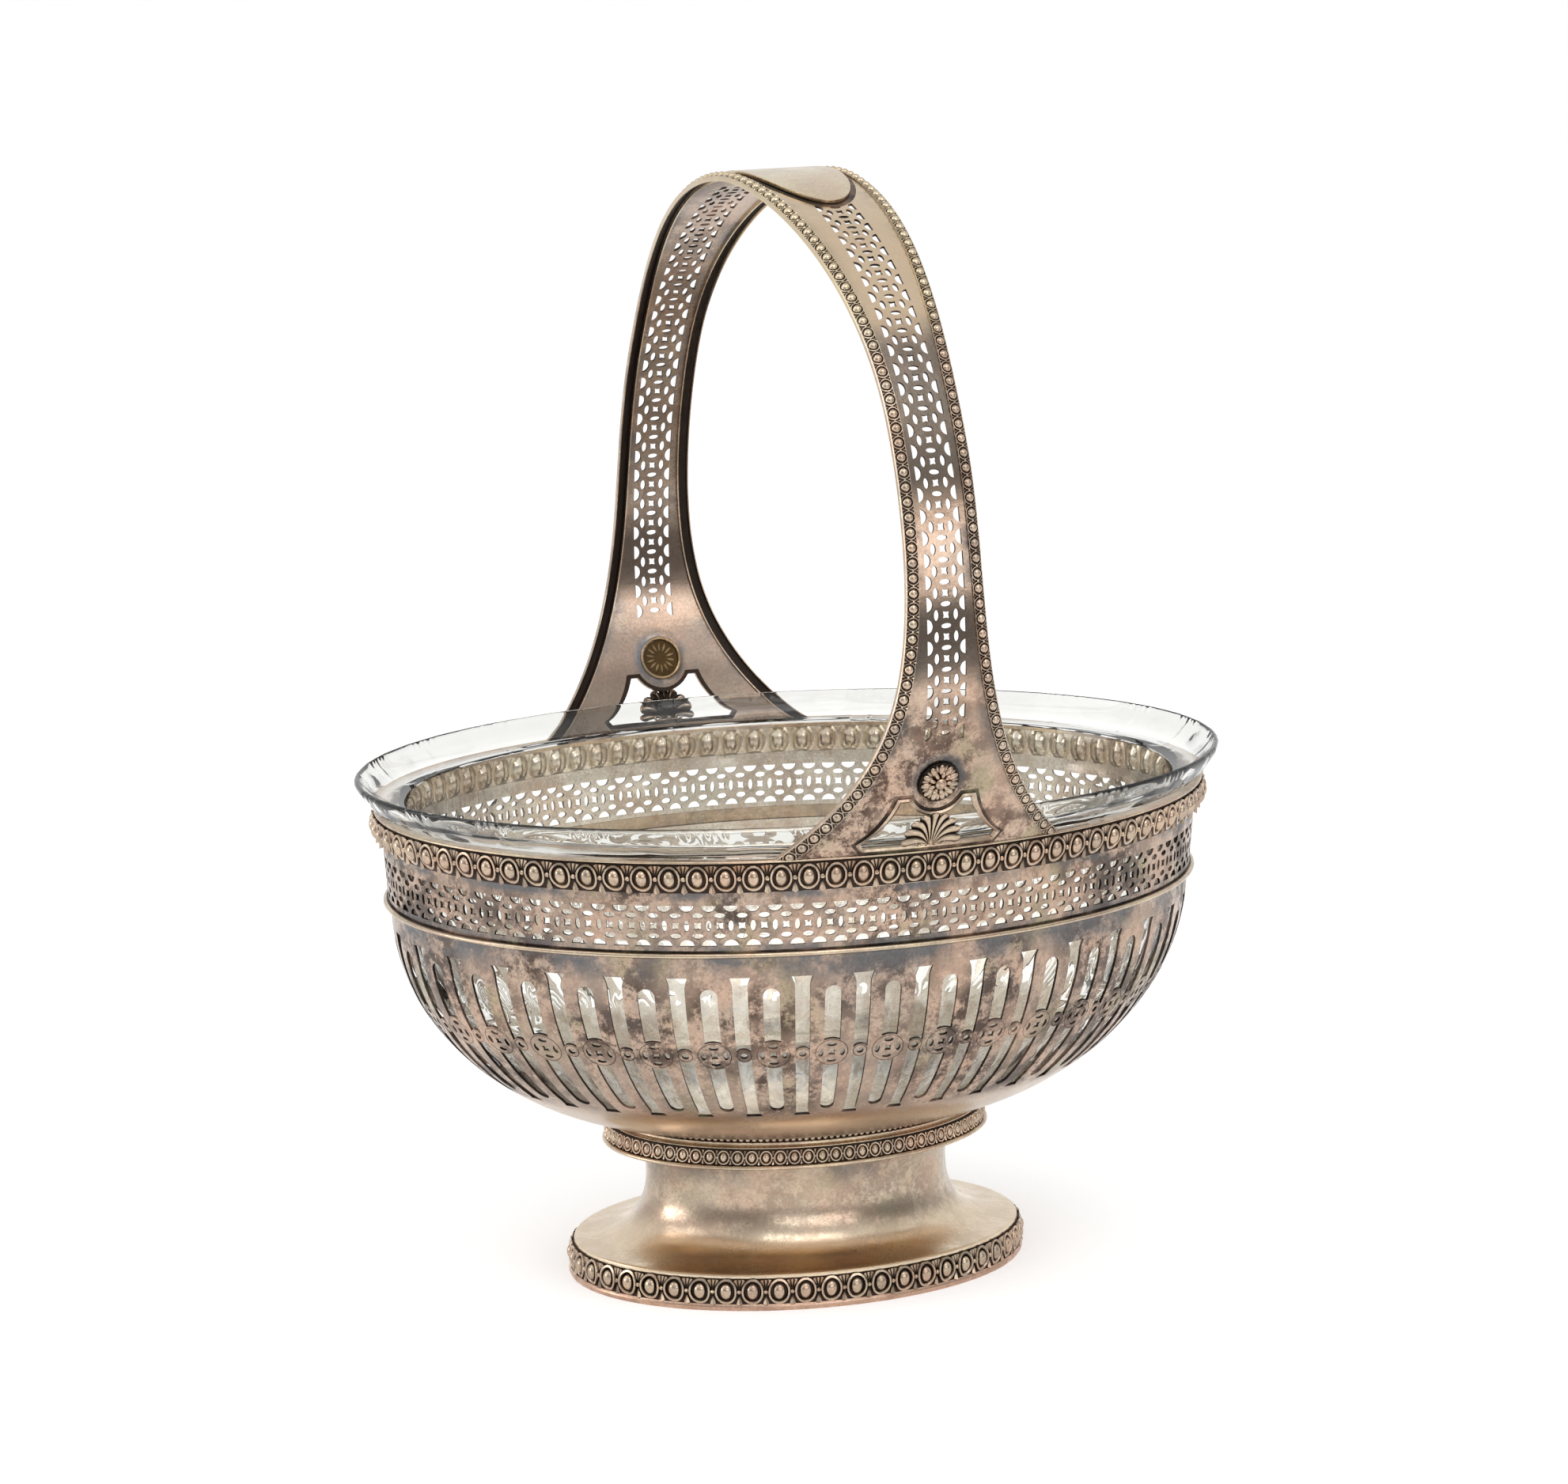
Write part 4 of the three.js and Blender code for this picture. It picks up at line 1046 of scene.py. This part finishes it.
# Tarnish taken off under the legs' and wings' bright reflections: painted sheen.
front_cleaned_for_sheen = np.interp(level, [165, 176, 262, 270], [0, 0.85, 0.85, 0.85])
back_cleaned_for_sheen = np.interp(level, [131, 140, 166, 180], [0.4, 0.9, 0.9, 0.3])
at_front = found[:, 1] < 0
mark_area(strap, "painted_shade", np.where(at_front, front_painted_shade, back_painted_shade))
mark_area(strap, "cleaned_for_sheen", np.where(at_front, front_cleaned_for_sheen, back_cleaned_for_sheen))
# Bloom beside the borders and round the rosette: partly painted shade.
bloom_and_shade_beside_parts = np.maximum(1 - from_edge / 2.6, 1 - (around_rosette - 6.4) / 2.2)
mark_area(strap, "bloom_and_shade", 0.9 * held(bloom_and_shade_beside_parts))
finished(strap, "basket", "raised_silver", ["handle_strap"], handle_silver, sawn_edge, strap_inner_silver)


# Handle borders
# A stamped wire of small round eggs and darts edges the strap all the way, hollow behind, with a
# plain outer flange. Both ends are mitred down on to the rim.
border_pitch = 3.8

edge_along = np.linspace(-half_arch - 7, half_arch + 7, 4000)
edge_half = strap_half(edge_along)
edge_run = np.concatenate([[0], np.cumsum(np.hypot(np.diff(edge_along), np.diff(edge_half)))])
edge_middle = float(np.interp(0, edge_along, edge_run))
border_units = int(edge_run[-1] / border_pitch)


def laid_on_border(piece, side):
    """Bends a flat strip along one edge of the strap: x runs along it and z in from the edge."""
    x, y, z = places(piece).T
    along = np.interp(edge_middle + side * x, edge_run, edge_along)
    slope = strap_slope(along)
    scale = z / np.hypot(1, slope)
    put(piece, on_strap(side * (strap_half(along) - scale), along + slope * scale, -y))
    return merged(piece, 0.01)


def moulding(section, length):
    """A short stretch of a drawn wire. Each corner of its closed section is (in from the edge, out of
    the sheet, how bright it is rubbed)."""
    clear_bench()
    bpy.ops.mesh.primitive_circle_add(vertices=len(section), radius=1, fill_type="NOTHING")
    stretch_of_wire = bpy.context.active_object
    put(stretch_of_wire, np.array([(0, -out, inset) for inset, out, bright in section], dtype=float))
    opened(stretch_of_wire)
    bpy.ops.mesh.extrude_edges_move(TRANSFORM_OT_translate={"value": (length, 0, 0)})
    mark_area(faced_out(stretch_of_wire), "relief", [bright for inset, out, bright in section] * 2)
    return stretch_of_wire


wire_section = [
    (0.0, -1.4, 0.9), (0.0, -0.3, 0.8), (0.12, -0.08, 0.9), (0.3, -0.08, 0.7), (0.42, -0.26, 0.02),
    (0.9, 0.0, 0.0), (1.6, 0.22, 0.0), (3.1, 0.16, 0.02), (3.2, 0.36, 0.7), (3.34, 0.36, 0.9),
    (3.42, 0.1, 0.4), (3.3, -1.4, 0.8), (2.95, -1.4, 0.8), (2.7, -0.2, 0.0), (1.2, -0.4, 0.0),
    (0.55, -0.7, 0.0), (0.3, -1.4, 0.9),
]
for name, side in (("left", -1), ("right", 1)):
    wire = moulding(wire_section, border_pitch / 2)
    repeated(wire, border_units * 2, border_pitch / 2)
    eggs = egg_and_dart(border_pitch, 3.3, (2.3, 2.4), (3.3, 3.15), 0.23, 0.92, fine=False)
    mark_relief(eggs, 0.08, 0.52)
    repeated(eggs, border_units, border_pitch)
    found = places(eggs)
    found[:, 2] += 0.08
    found[:, 1] += 0.75 * held(1 - found[:, 2] / 1.5) ** 1.3 - 0.2
    put(eggs, found)
    for strip in (wire, eggs):
        moved(strip, 0, -border_units * border_pitch / 2)
        laid_on_border(strip, side)
        sliced(strip, (0, 0, rim_top_z), (0, 0, 1), closed=True)
    border = joined("handle_egg_border_" + name, eggs, wire)
    finished(border, "basket", "stamped_silver", ["handle_border_" + name], border_silver)


# Cartouche
# A plain oval plaque is soldered over the top of the arch, a little proud of the strap, left bare.
def outline_ring(outer, inner, middle, low, high, top):
    """A rounded bead between two outlines with as many corners, from low to its top out of the sheet."""
    clear_bench()
    bpy.ops.mesh.primitive_circle_add(vertices=len(outer), radius=1, fill_type="NOTHING")
    ring = bpy.context.active_object
    loops = [(outer, low), (outer, high), (middle, top), (inner, high), (inner, low)]
    opened(ring)
    for step in loops[1:]:
        bpy.ops.mesh.extrude_edges_move(TRANSFORM_OT_translate={"value": (0, -1, 0)})
    clear_bench()
    put(ring, np.array([(x, -out, z) for outline, out in loops for x, z in outline], dtype=float))
    opened(ring)
    bpy.ops.mesh.select_mode(type="EDGE")
    bpy.ops.mesh.select_all(action="DESELECT")
    bpy.ops.mesh.select_non_manifold(extend=False)
    bpy.ops.mesh.bridge_edge_loops()
    bpy.ops.mesh.select_mode(type="VERT")
    return faced_out(ring)


cartouche_length = 62.0
cartouche_width = 24.8
cartouche_lift = 1.19
warm_silver = silver("warm_silver", (218, 203, 170), (186, 168, 138), (182, 174, 156), amounts=(0.35, 0.25),
                     polish=0.16)
cartouche = flat_sheet(cartouche_width + 2, cartouche_length + 2, 16, 36, 0.9, -cartouche_width / 2 - 1)
moved(cartouche, 2, -cartouche_length / 2 - 1)
punched(cartouche, [oval_hole(0, 0, cartouche_width, cartouche_length, 96)], "INTERSECT")
modified(cartouche, "BEVEL", width=0.28, segments=3, angle_limit=math.radians(60))
moved(cartouche, 1, -cartouche_lift)
laid_on_strap(cartouche)
groove_outlines = [
    oval_hole(0, 0, cartouche_width + grow, cartouche_length + grow, 96) for grow in (3.4, -0.6, 1.4)]
groove = outline_ring(*groove_outlines, -0.2, 0.04, 0.07)
laid_on_strap(groove)
coated(cartouche, (warm_silver, sawn_edge))
coated(groove, (warm_silver, sawn_edge), lambda face: 1)
cartouche = joined("cartouche_plaque", cartouche, groove)
finished(cartouche, "basket", "warm_silver", ["handle_cartouche"], warm_silver, sawn_edge)


# Rosettes
# A stamped flower boss of two rings of petals round a button is let into each wing. From inside
# the basket its hollow back shows in a turned-over rim.
boss_turn = math.radians(60)
boss_back_silver = silver("boss_back_silver", (206, 178, 128), (126, 100, 66), hollow=(84, 66, 42), bump=0.08)
clear_bench()
bpy.ops.mesh.primitive_cylinder_add(vertices=36, radius=4.55, depth=0.9)
bosses = [shaped((0, 0.3, 0), turn=(math.pi / 2, 0, 0))]
for count, reach, petal, lift, shift in (
    (11, 3.05, (0.78, 0.75, 1.35), -0.35, 0.0), (11, 3.35, (0.55, 0.55, 1.1), -0.15, 0.5),
    (9, 2.0, (0.5, 0.7, 0.85), -0.8, 0.25), (6, 0.6, (0.24, 0.3, 0.24), -1.95, 0.0),
    (14, 2.6, (0.42, 0.2, 1.4), 0.72, 0.0),
):
    for i in range(count):
        turn = 2 * math.pi * (i + shift) / count
        bosses.append(bead((reach * math.sin(turn), lift, reach * math.cos(turn)), petal, (0, turn, 0)))
bosses.append(bead((0, -1.1, 0), (1.3, 1.0, 1.3), sides=16, rings=8))
bosses.append(hoop((0, 0.95, 0), 9.5, 9.5, 0.42, 36, 8, 1.0))
rosette = joined("rosette_boss_front", *bosses)
rosette.data.transform(Matrix.Diagonal((1.2, 1.0, 1.2, 1.0)))
found = places(rosette)
relief = (-found[:, 1] - 0.35) / 0.6
at_back = found[:, 1] > 0.5
relief[at_back] = np.clip(2.6 * (found[at_back, 1] - 0.78), 0.05, 0.4)
relief[at_back & (np.hypot(found[:, 0], found[:, 2]) > 5.55)] = 0.9
mark_area(rosette, "relief", relief)
coated(rosette, (stamped_silver, boss_back_silver), lambda face: 1 if face.center.y > 0.5 else 0)
moved(rosette, 2, rosette_along)
laid_on_strap(rosette)
finished_pair(rosette, "stamped_silver", "rosette", stamped_silver, boss_back_silver, turn=boss_turn)


# Opening frames and palmettes
# A raised bead with a dark line outside it lines each wing's opening, and a shell-shaped leaf of
# nine gouged lobes stands in it on a curled stem.
palmette_root_z = 2.0
palmette_centre_z = 3.6
palmette_reach = 8.2
palmette_top_z = 11.0
palmette_lobes = 9


def nearest(corners, outline):
    """For each corner, the closest spot of another outline."""
    spots = spaced(outline, 0.2)
    return [min(spots, key=lambda spot: (spot[0] - x) ** 2 + (spot[1] - z) ** 2) for x, z in corners]


def up_the_wing(piece):
    """Brings a flat piece whose z is a height over the rim to its place on the front wing."""
    found = places(piece)
    found[:, 2] = [along_at(rim_top_z + z) for z in found[:, 2]]
    put(piece, found)
    return laid_on_strap(piece)


rings = []
for index, (outer_inset, insets, heights) in enumerate((
    (0.1, (1.1, 0.6), (-0.9, 0.4, 0.75)), (-0.7, (0.25, -0.2), (-0.3, 0.05, 0.06)),
)):
    outer = spaced(opening_outline(outer_inset), 1.2)
    rails = [nearest(outer, opening_outline(inset)) for inset in insets]
    ring = outline_ring(outer, *rails, *heights)
    mark_relief(ring, -0.95, -0.2)
    coated(ring, (stamped_silver, sawn_edge), lambda face: index)
    rings.append(up_the_wing(ring))
frame_bead = joined("opening_frame_bead_front", *rings)
finished_pair(frame_bead, "raised_silver", "opening_frame", stamped_silver, sawn_edge)

clear_bench()
bpy.ops.mesh.primitive_grid_add(x_subdivisions=108, y_subdivisions=16, size=1)
shell = shaped((0, 0, 0), turn=(math.pi / 2, 0, 0))
found = places(shell)
share = found[:, 0] + 0.5
climb = found[:, 2] + 0.5
spread = np.radians(196 - 212 * share)
lobe = np.abs(np.sin(math.pi * palmette_lobes * share))
reach = 0.84 + 0.16 * lobe ** 0.6
tip_x = palmette_reach * np.cos(spread) * reach
tip_z = palmette_centre_z + (palmette_top_z - palmette_centre_z) * np.sin(spread) * reach
pull_x = 0.42 * tip_x
pull_z = palmette_root_z + 0.85 * (tip_z - palmette_root_z) + 1.3
root_x = 0.7 * np.cos(spread)
found[:, 0] = root_x * (1 - climb) ** 2 + 2 * pull_x * climb * (1 - climb) + tip_x * climb ** 2
found[:, 2] = palmette_root_z * (1 - climb) ** 2 + 2 * pull_z * climb * (1 - climb) + tip_z * climb ** 2
rounding = np.sqrt(held(1 - (held(climb - 0.75) / 0.26) ** 2))
gouge = lobe ** 0.7 * (0.45 + 0.55 * climb) * rounding
found[:, 1] = -0.4 - 1.05 * gouge - 0.3 * climb
put(shell, found)
# The lobes' rounded tips are marked darker than their ridges: painted shade at the tips' edge.
mark_area(shell, "relief", (1.15 * lobe - 0.32) * (0.35 + 0.65 * rounding))
modified(shell, "SOLIDIFY", thickness=0.7, offset=-1)
scrolls = []
for way in (-1, 1):
    scrolls.append(hoop((way * 3.2, -0.35, palmette_root_z + 0.7), 1.7, 1.5, 0.38, 18, 8, 1.4))
    scrolls.append(bead((way * 1.7, -0.1, palmette_root_z), (1.9, 0.75, 0.42), sides=10))
scrolls.append(bead((0, -0.1, palmette_root_z + 0.5), (0.8, 0.9, 0.9), sides=10))
scrolls = joined("palmette_scrolls", *scrolls)
mark_relief(scrolls, -1.6, 0.5)
palmette = joined("palmette_leaf_front", shell, scrolls)
up_the_wing(palmette)
finished_pair(palmette, "stamped_silver", "palmette", stamped_silver, turn=boss_turn)


# Glass liner
# A thick cut-glass vessel follows the silver inside and rests over the rim on a flared lip. Ovals
# and small stars are cut into its wall between bands of level cuts. It lifts straight out.
liner_bottom = 47.8
glass_wall = 2.4
glass_neck = 108.7
glass_seat_z = rim_top_z + 0.3
glass_lip_z = 139.3
glass_lip = 120.0
glass_lip_side = 87.8
glass_sides = 720
glass_repeats = 24
glass_heel = 113.2
glass_flare = (117.6, 134.9)
glass_inner_flare = (115.9, 135.3)
glass_edge_z = 138.3
cut_rows = ((118.0, 6.2, 4.4), (90.0, 6.4, 5.6), (68.0, 5.0, 5.0))
bar_heights = (127.5, 124.8, 108.5, 105.5, 79.5)
lip_cuts_z = 134.7
lip_cut_reach = 6.3

body_z = np.concatenate([
    [liner_bottom], np.linspace(liner_bottom + 0.8, 60, 7), np.linspace(60, glass_seat_z, 54)[1:]])
body_half = np.minimum(np.interp(body_z - 2.2, wall_heights, wall_half) - 2.5, glass_neck)
outer_glass = [(0.5, liner_bottom), (body_half[0] * 0.6, liner_bottom)]
outer_glass += list(zip(body_half.tolist(), body_z.tolist()))
lip_glass = [(glass_heel, glass_seat_z)]
curved(lip_glass, (116.0, 132.6), glass_flare, 5)
curved(lip_glass, (119.4, 136.6), (glass_lip, glass_edge_z), 4)
curved(lip_glass, (glass_lip, glass_lip_z), (glass_lip - 0.9, glass_lip_z), 4)
curved(lip_glass, (118.3, 137.9), glass_inner_flare, 5)
curved(lip_glass, (112.0, 132.4), (106.3, 131.9), 6)
inner_z = np.linspace(128.5, 53.0, 14)
inner_half = np.minimum(np.interp(inner_z - 3.4, wall_heights, wall_half) - 2.5, glass_neck) - glass_wall
inner_glass = list(zip(inner_half.tolist(), inner_z.tolist()))
floor_z = liner_bottom + glass_wall
inner_glass += [(inner_half[-1] * 0.9, floor_z + 0.4), (inner_half[-1] * 0.5, floor_z), (0.5, floor_z)]
liner = turned("glass_vessel", outer_glass + lip_glass + inner_glass, glass_sides)
found = places(liner)
x, y, z = found.T
half = np.hypot(x, y / plan_ratio)
on_lip = (z > glass_seat_z - 0.01) & (half > glass_neck)
share = held((half - glass_neck) / (glass_lip - glass_neck))
lip_side = glass_neck * plan_ratio + (glass_lip_side - glass_neck * plan_ratio) * share
found[:, 1] = np.where(on_lip, y * lip_side / np.maximum(half * plan_ratio, 1e-6), y)
outside = np.interp(z, body_z, body_half)
on_wall = (z > 52) & (z < glass_seat_z - 1.5) & (np.abs(half - outside) < 0.15)
turn = np.arctan2(y / plan_ratio, x)
lap = (turn / (2 * math.pi) * glass_repeats) % 1.0
beside = (lap - 0.5) * 2 * math.pi * half / glass_repeats
from_star = np.minimum(lap, 1 - lap) * 2 * math.pi * half / glass_repeats


def deepest(cuts):
    """How near each point is to the middle of one of some cuts, from 0 outside them all to 1."""
    return np.max([held(1 - cut) for cut in cuts], axis=0)


lens = deepest((beside / wide) ** 2 + ((z - row_z) / tall) ** 2 for row_z, wide, tall in cut_rows)
star = deepest(
    (np.abs(from_star - lean * (z - row_z)) + 0.55 * np.abs(z - row_z)) / 2.6
    for row_z, wide, tall in cut_rows for lean in (0, 1, -1))
bars = deepest(np.abs(z - level) / 1.2 for level in bar_heights)
over_lip = np.interp(
    half, [glass_heel, glass_flare[0], glass_lip], [glass_seat_z, glass_flare[1], glass_edge_z])
lip_face = (z > glass_seat_z + 0.4) & (half > glass_heel + 0.2) & (z < over_lip + 0.5)
lip_lens = held(1 - (beside / lip_cut_reach) ** 2 - ((z - lip_cuts_z) / 2.3) ** 2) ** 0.7
lip_star = held(1 - (np.abs(from_star) + 0.5 * np.abs(z - lip_cuts_z)) / 2.2)
at_edge = held((z - 136.4) / 1.2)
notch = deepest(np.abs(from_star - spot) / 0.8 for spot in (0.0, 2.6, 5.2))
scallop = held(1 - (beside / lip_cut_reach) ** 2) ** 0.5
lip_depth = np.where(lip_face, np.maximum(0.4 * lip_lens, 0.3 * lip_star), 0)
edge_depth = np.where(half > 118.2, at_edge * np.maximum(0.4 * notch, 0.12 * scallop), 0)
wall_depth = np.max([0.6 * lens ** 0.8, 0.5 * star, 0.35 * bars], axis=0)
depth = np.where(on_wall, wall_depth, 0) + np.maximum(lip_depth, edge_depth)
found[:, 0] -= depth * np.cos(turn)
found[:, 1] -= depth * np.sin(turn) * plan_ratio
put(liner, found)

clear_glass, tree, shader = new_finish("liner_glass")
where = object_place(tree)
body_tone = blended(tree, cloud(tree, where, 30, 2, 0.3, 0.7), tint(246, 246, 243), tint(250, 250, 248))
at_lip = shade_node(tree, "MapRange", {
    "Value": object_axes(tree)["Z"], "From Min": 0.1315, "From Max": 0.134}).outputs["Result"]
drawn = shade_node(tree, "Bump", {
    "Height": cloud(tree, where, 26, 1, 0.2, 0.8), "Strength": 0.04, "Distance": 0.002})
wired(tree, shader, {
    "Transmission Weight": 1.0, "IOR": 1.42,
    "Base Color": blended(tree, at_lip, body_tone, tint(228, 228, 225)),
    "Roughness": cloud(tree, where, 55, 4, 0.45, 0.75, 0.6, (0.0, 0.03)), "Normal": drawn.outputs["Normal"],
})
finished(liner, "liner", "liner_glass", ["glass_liner"], clear_glass, turn=math.radians(50))


# Stage
# A pale table that ends in front of the basket, and plain soft light from a few large boxes, as in a
# studio for catalogue pictures. Low down on the camera's side the room is dim.
clear_bench()
bpy.ops.mesh.primitive_plane_add(size=24, location=(0, 11.15, 0))
floor = bpy.context.active_object
bpy.ops.object.transform_apply()
floor.name = "studio_floor"
paper, tree, shader = new_finish("studio_paper")
paper_tone = blended(
    tree, cloud(tree, object_place(tree), 3, 3, 0.3, 0.7), tint(243, 243, 243), tint(246, 246, 246))
seen = shade_node(tree, "LightPath").outputs
direct = times(tree, seen["Is Camera Ray"], seen["Is Glossy Ray"], "MAXIMUM")
direct = times(tree, direct, seen["Is Transmission Ray"], "MAXIMUM")
wired(tree, shader, {
    "Base Color": paper_tone, "Roughness": 0.9, "Specular IOR Level": 0.1,
    "Emission Strength": times(tree, direct, 0.34), "Emission Color": (1, 1, 1, 1),
})
floor.data.materials.append(paper)


def soft_box(name, side, height, reach, size, power):
    """A square lamp that faces the basket from an angle beside the camera and above the floor."""
    lamp = bpy.data.lights.new(name, "AREA")
    lamp.shape = "RECTANGLE"
    lamp.size, lamp.size_y = size
    lamp.energy = power
    box = bpy.data.objects.new(name, lamp)
    bpy.context.scene.collection.objects.link(box)
    turn = math.radians(-22.99 + side)
    lift = math.radians(height)
    away = Vector((math.sin(turn) * math.cos(lift), -math.cos(turn) * math.cos(lift), math.sin(lift)))
    facing = away.to_track_quat("Z", "Y").to_matrix().to_4x4()
    box.matrix_world = Matrix.Translation(Vector((0, 0, 0.12)) + away * reach) @ facing


soft_box("key_box", 25, 55, 1.8, (1.3, 1.1), 8)
soft_box("side_box", -75, 50, 1.8, (1.1, 1.4), 5)
soft_box("low_box", 28, 11.5, 1.5, (1.3, 0.42), 3.0)
soft_box("far_box", -83, 8, 1.5, (0.8, 0.42), 3.5)

world = bpy.data.worlds.new("studio")
bpy.context.scene.world = world
world.use_nodes = True
tree = world.node_tree
seen = shade_node(tree, "LightPath").outputs
direction = object_axes(tree, "Generated")
ahead = eased(tree, direction["Y"], 0.1, -0.55)
low_down = eased(tree, direction["Z"], 0.5, 0.2)
dark_room = times(tree, times(tree, ahead, low_down), 0.55)
mirrored = times(tree, 0.95, dark_room, "SUBTRACT")
through = times(tree, seen["Is Camera Ray"], seen["Is Transmission Ray"], "MAXIMUM")
matt_share = times(tree, times(tree, 1.0, seen["Is Glossy Ray"], "SUBTRACT"), 0.72)
lit = times(tree, matt_share, times(tree, seen["Is Glossy Ray"], mirrored), "ADD")
wired(tree, tree.nodes["Background"], {
    "Strength": times(tree, lit, through, "MAXIMUM"), "Color": (1, 1, 1, 1)})


# Camera
# The photograph was taken from a little above the rim, turned off the basket's short axis.
azimuth = math.radians(-22.99)
elevation = math.radians(11.41)
roll = math.radians(-0.60)
distance = 1.5323
target = np.array([-0.00327, -0.00236, 0.14353])
focal_pixels = 7251
photo_width = 1982
back = np.array([
    math.sin(azimuth) * math.cos(elevation), -math.cos(azimuth) * math.cos(elevation), math.sin(elevation)])
right = np.array([math.cos(azimuth), math.sin(azimuth), 0])
up = np.cross(back, right)
level_right = math.cos(roll) * right + math.sin(roll) * up
level_up = -math.sin(roll) * right + math.cos(roll) * up
eye = target + back * distance
lens = bpy.data.cameras.new("camera")
camera = bpy.data.objects.new("camera", lens)
bpy.context.scene.collection.objects.link(camera)
axes = np.stack([level_right, level_up, back], axis=1).tolist()
camera.matrix_world = Matrix([[*row, place] for row, place in zip(axes, eye)] + [[0, 0, 0, 1]])
lens.sensor_fit = "HORIZONTAL"
lens.sensor_width = 36.0
lens.lens = focal_pixels * 36.0 / photo_width
lens.clip_start = 0.01
lens.clip_end = 20
bpy.context.scene.camera = camera

bpy.context.scene.view_settings.view_transform = "Standard"
